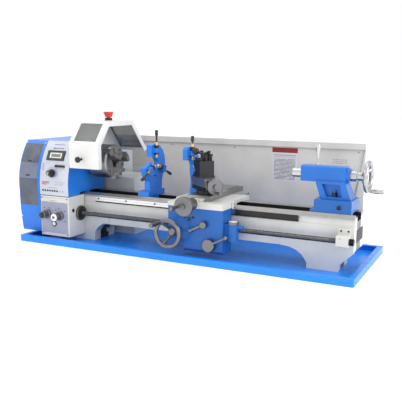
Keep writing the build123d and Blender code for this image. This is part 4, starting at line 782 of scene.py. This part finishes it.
# --------------------------------------------- trim: bed, carriage and tailstock
louvres = [((664.6, -75, 108 + 6 * i), (666.6, 14, 111 + 6 * i)) for i in range(7)]
boxes("end_vent", iron, [((663.6, -79, 104), (665, 18, 149))] + louvres, "lathe_bed")
turnings("bracket_port", print_black, [((628, -164, 134), (0, -1, 0), [(0, 1.6), (0.4, 1.6)])],
         "lathe_bed", 16)
boxes("way_wiper", white, [((213, -126.5, 194), (222, -121.5, 219))], "carriage", 0.0008)
turnings("wiper_screws", black_steel, [((222, -124, z), (1, 0, 0), [(0, 2.0), (1.6, 2.0), (2.0, 1.2)])
                                       for z in (200, 213)], "carriage", 20)
turnings("apron_screws", black_steel, [((x, -202.9, z), (0, -1, 0), [(0, 4.6), (1.6, 4.6), (2.4, 3.6)])
                                       for x, z in ((60, 164), (93, 164))], "carriage", 24)
turnings("apron_plug", print_black, [((77, -202.9, 157), (0, -1, 0), [(0, 7.5), (1.2, 7.5), (1.7, 6.4)])],
         "carriage", 32)
turnings("thread_dial_face", label_white, [((240, -172, 156.6), (0, 0, 1), [(0, 16), (0.9, 16), (1.3, 15)])],
         "thread_dial", 40)
dial_scale = ring_marks((240, -172, 157.9), (0, 0, 1), radius=11.5, count=12, start=0, sweep=330,
                        size=(3.6, 1.3), proud=0.3)
keep("thread_dial_marks", fix(dial_scale), print_blue, "thread_dial", smooth=False)
cross_marks = drum_marks((94, -212.4, 217), (0, -1, 0), radius=22, count=50, length=8)
keep("cross_dial_marks", fix(cross_marks), print_black, "cross_handwheel", smooth=False)
quill_marks = drum_marks((629.4, -47, 334), (1, 0, 0), radius=19, count=50, length=7)
keep("quill_dial_marks", fix(quill_marks), print_black, "tailstock_handwheel", smooth=False)
turnings("saddle_screws", black_steel, [((212, y, 229), (1, 0, 0), [(0, 3.4), (1.8, 3.4), (2.4, 2.6)])
                                        for y in (20, 38)], "carriage", 24)
turnings("gib_nut", black_steel, [((606, -106.9, 228), (0, -1, 0), [(0, 8.2), (1.6, 8.2)]),
                                  ((606, -108.5, 228), (0, -1, 0), [(0, 4.6), (2.4, 4.6), (3.0, 3.4)])],
         "tailstock", 6)


# ------------------------------------------------------- floor, lights, camera
def stage_look():
    """Pale matt floor with a little light of its own, so that it stays near white."""
    look = Look("floor_paper")
    tone = look.ramp(look.noise(1.5, 3), 0.35, 0.65)
    look.colour(look.mix(tone, (0.88, 0.88, 0.88), (0.90, 0.90, 0.90)))
    look.set(Roughness=0.85, Emission_Color=(1, 1, 1, 1), Emission_Strength=0.22)
    return look


mesh = bmesh.new()
add_quad(mesh, [(-12000, -9000, 0), (12000, -9000, 0), (12000, 14000, 0), (-12000, 14000, 0)])
data = bpy.data.meshes.new("floor")
mesh.to_mesh(data)
mesh.free()
floor = bpy.data.objects.new("floor", data)
scene.collection.objects.link(floor)
data.materials.append(stage_look().mat)


def soft_light(name, place, target, size, watts):
    """A rectangular area light that faces its target, in metres."""
    lamp = bpy.data.lights.new(name, "AREA")
    lamp.shape = "RECTANGLE"
    lamp.size, lamp.size_y = size
    lamp.energy = watts
    made = bpy.data.objects.new(name, lamp)
    made.location = place
    made.rotation_euler = (Vector(target) - Vector(place)).to_track_quat("-Z", "Y").to_euler()
    scene.collection.objects.link(made)


soft_light("key", (-2.6, -1.6, 2.6), (-0.1, 0, 0.2), (2.2, 1.8), 22)
soft_light("front", (0.9, -3.2, 1.3), (-0.1, 0, 0.25), (2.0, 1.2), 10)
soft_light("top", (0.2, 0.3, 3.0), (0, 0, 0.2), (3.0, 2.0), 20)
soft_light("side", (3.0, -0.4, 1.5), (0.1, 0, 0.2), (1.6, 1.4), 36)

world = bpy.data.worlds.new("studio")
scene.world = world
world.use_nodes = True
backdrop = world.node_tree.nodes["Background"]
backdrop.inputs["Color"].default_value = (1.0, 1.0, 1.0, 1.0)
backdrop.inputs["Strength"].default_value = 1.0

yaw, pitch, roll = math.radians(26.608), math.radians(9.741), math.radians(-0.287)
ahead = Vector((-math.sin(yaw) * math.cos(pitch), math.cos(yaw) * math.cos(pitch), -math.sin(pitch)))
right = Vector((math.cos(yaw), math.sin(yaw), 0))
down = ahead.cross(right)
level = right * math.cos(roll) + down * math.sin(roll)
up = right * math.sin(roll) - down * math.cos(roll)
lens = bpy.data.cameras.new("view")
lens.sensor_width = 36
lens.lens = 54.34
camera = bpy.data.objects.new("view", lens)
turn = Matrix((level, up, -ahead)).transposed().to_4x4()
camera.matrix_world = Matrix.Translation((1.0993, -2.1477, 0.6016)) @ turn
scene.collection.objects.link(camera)
scene.camera = camera
scene.view_settings.view_transform = "Standard"
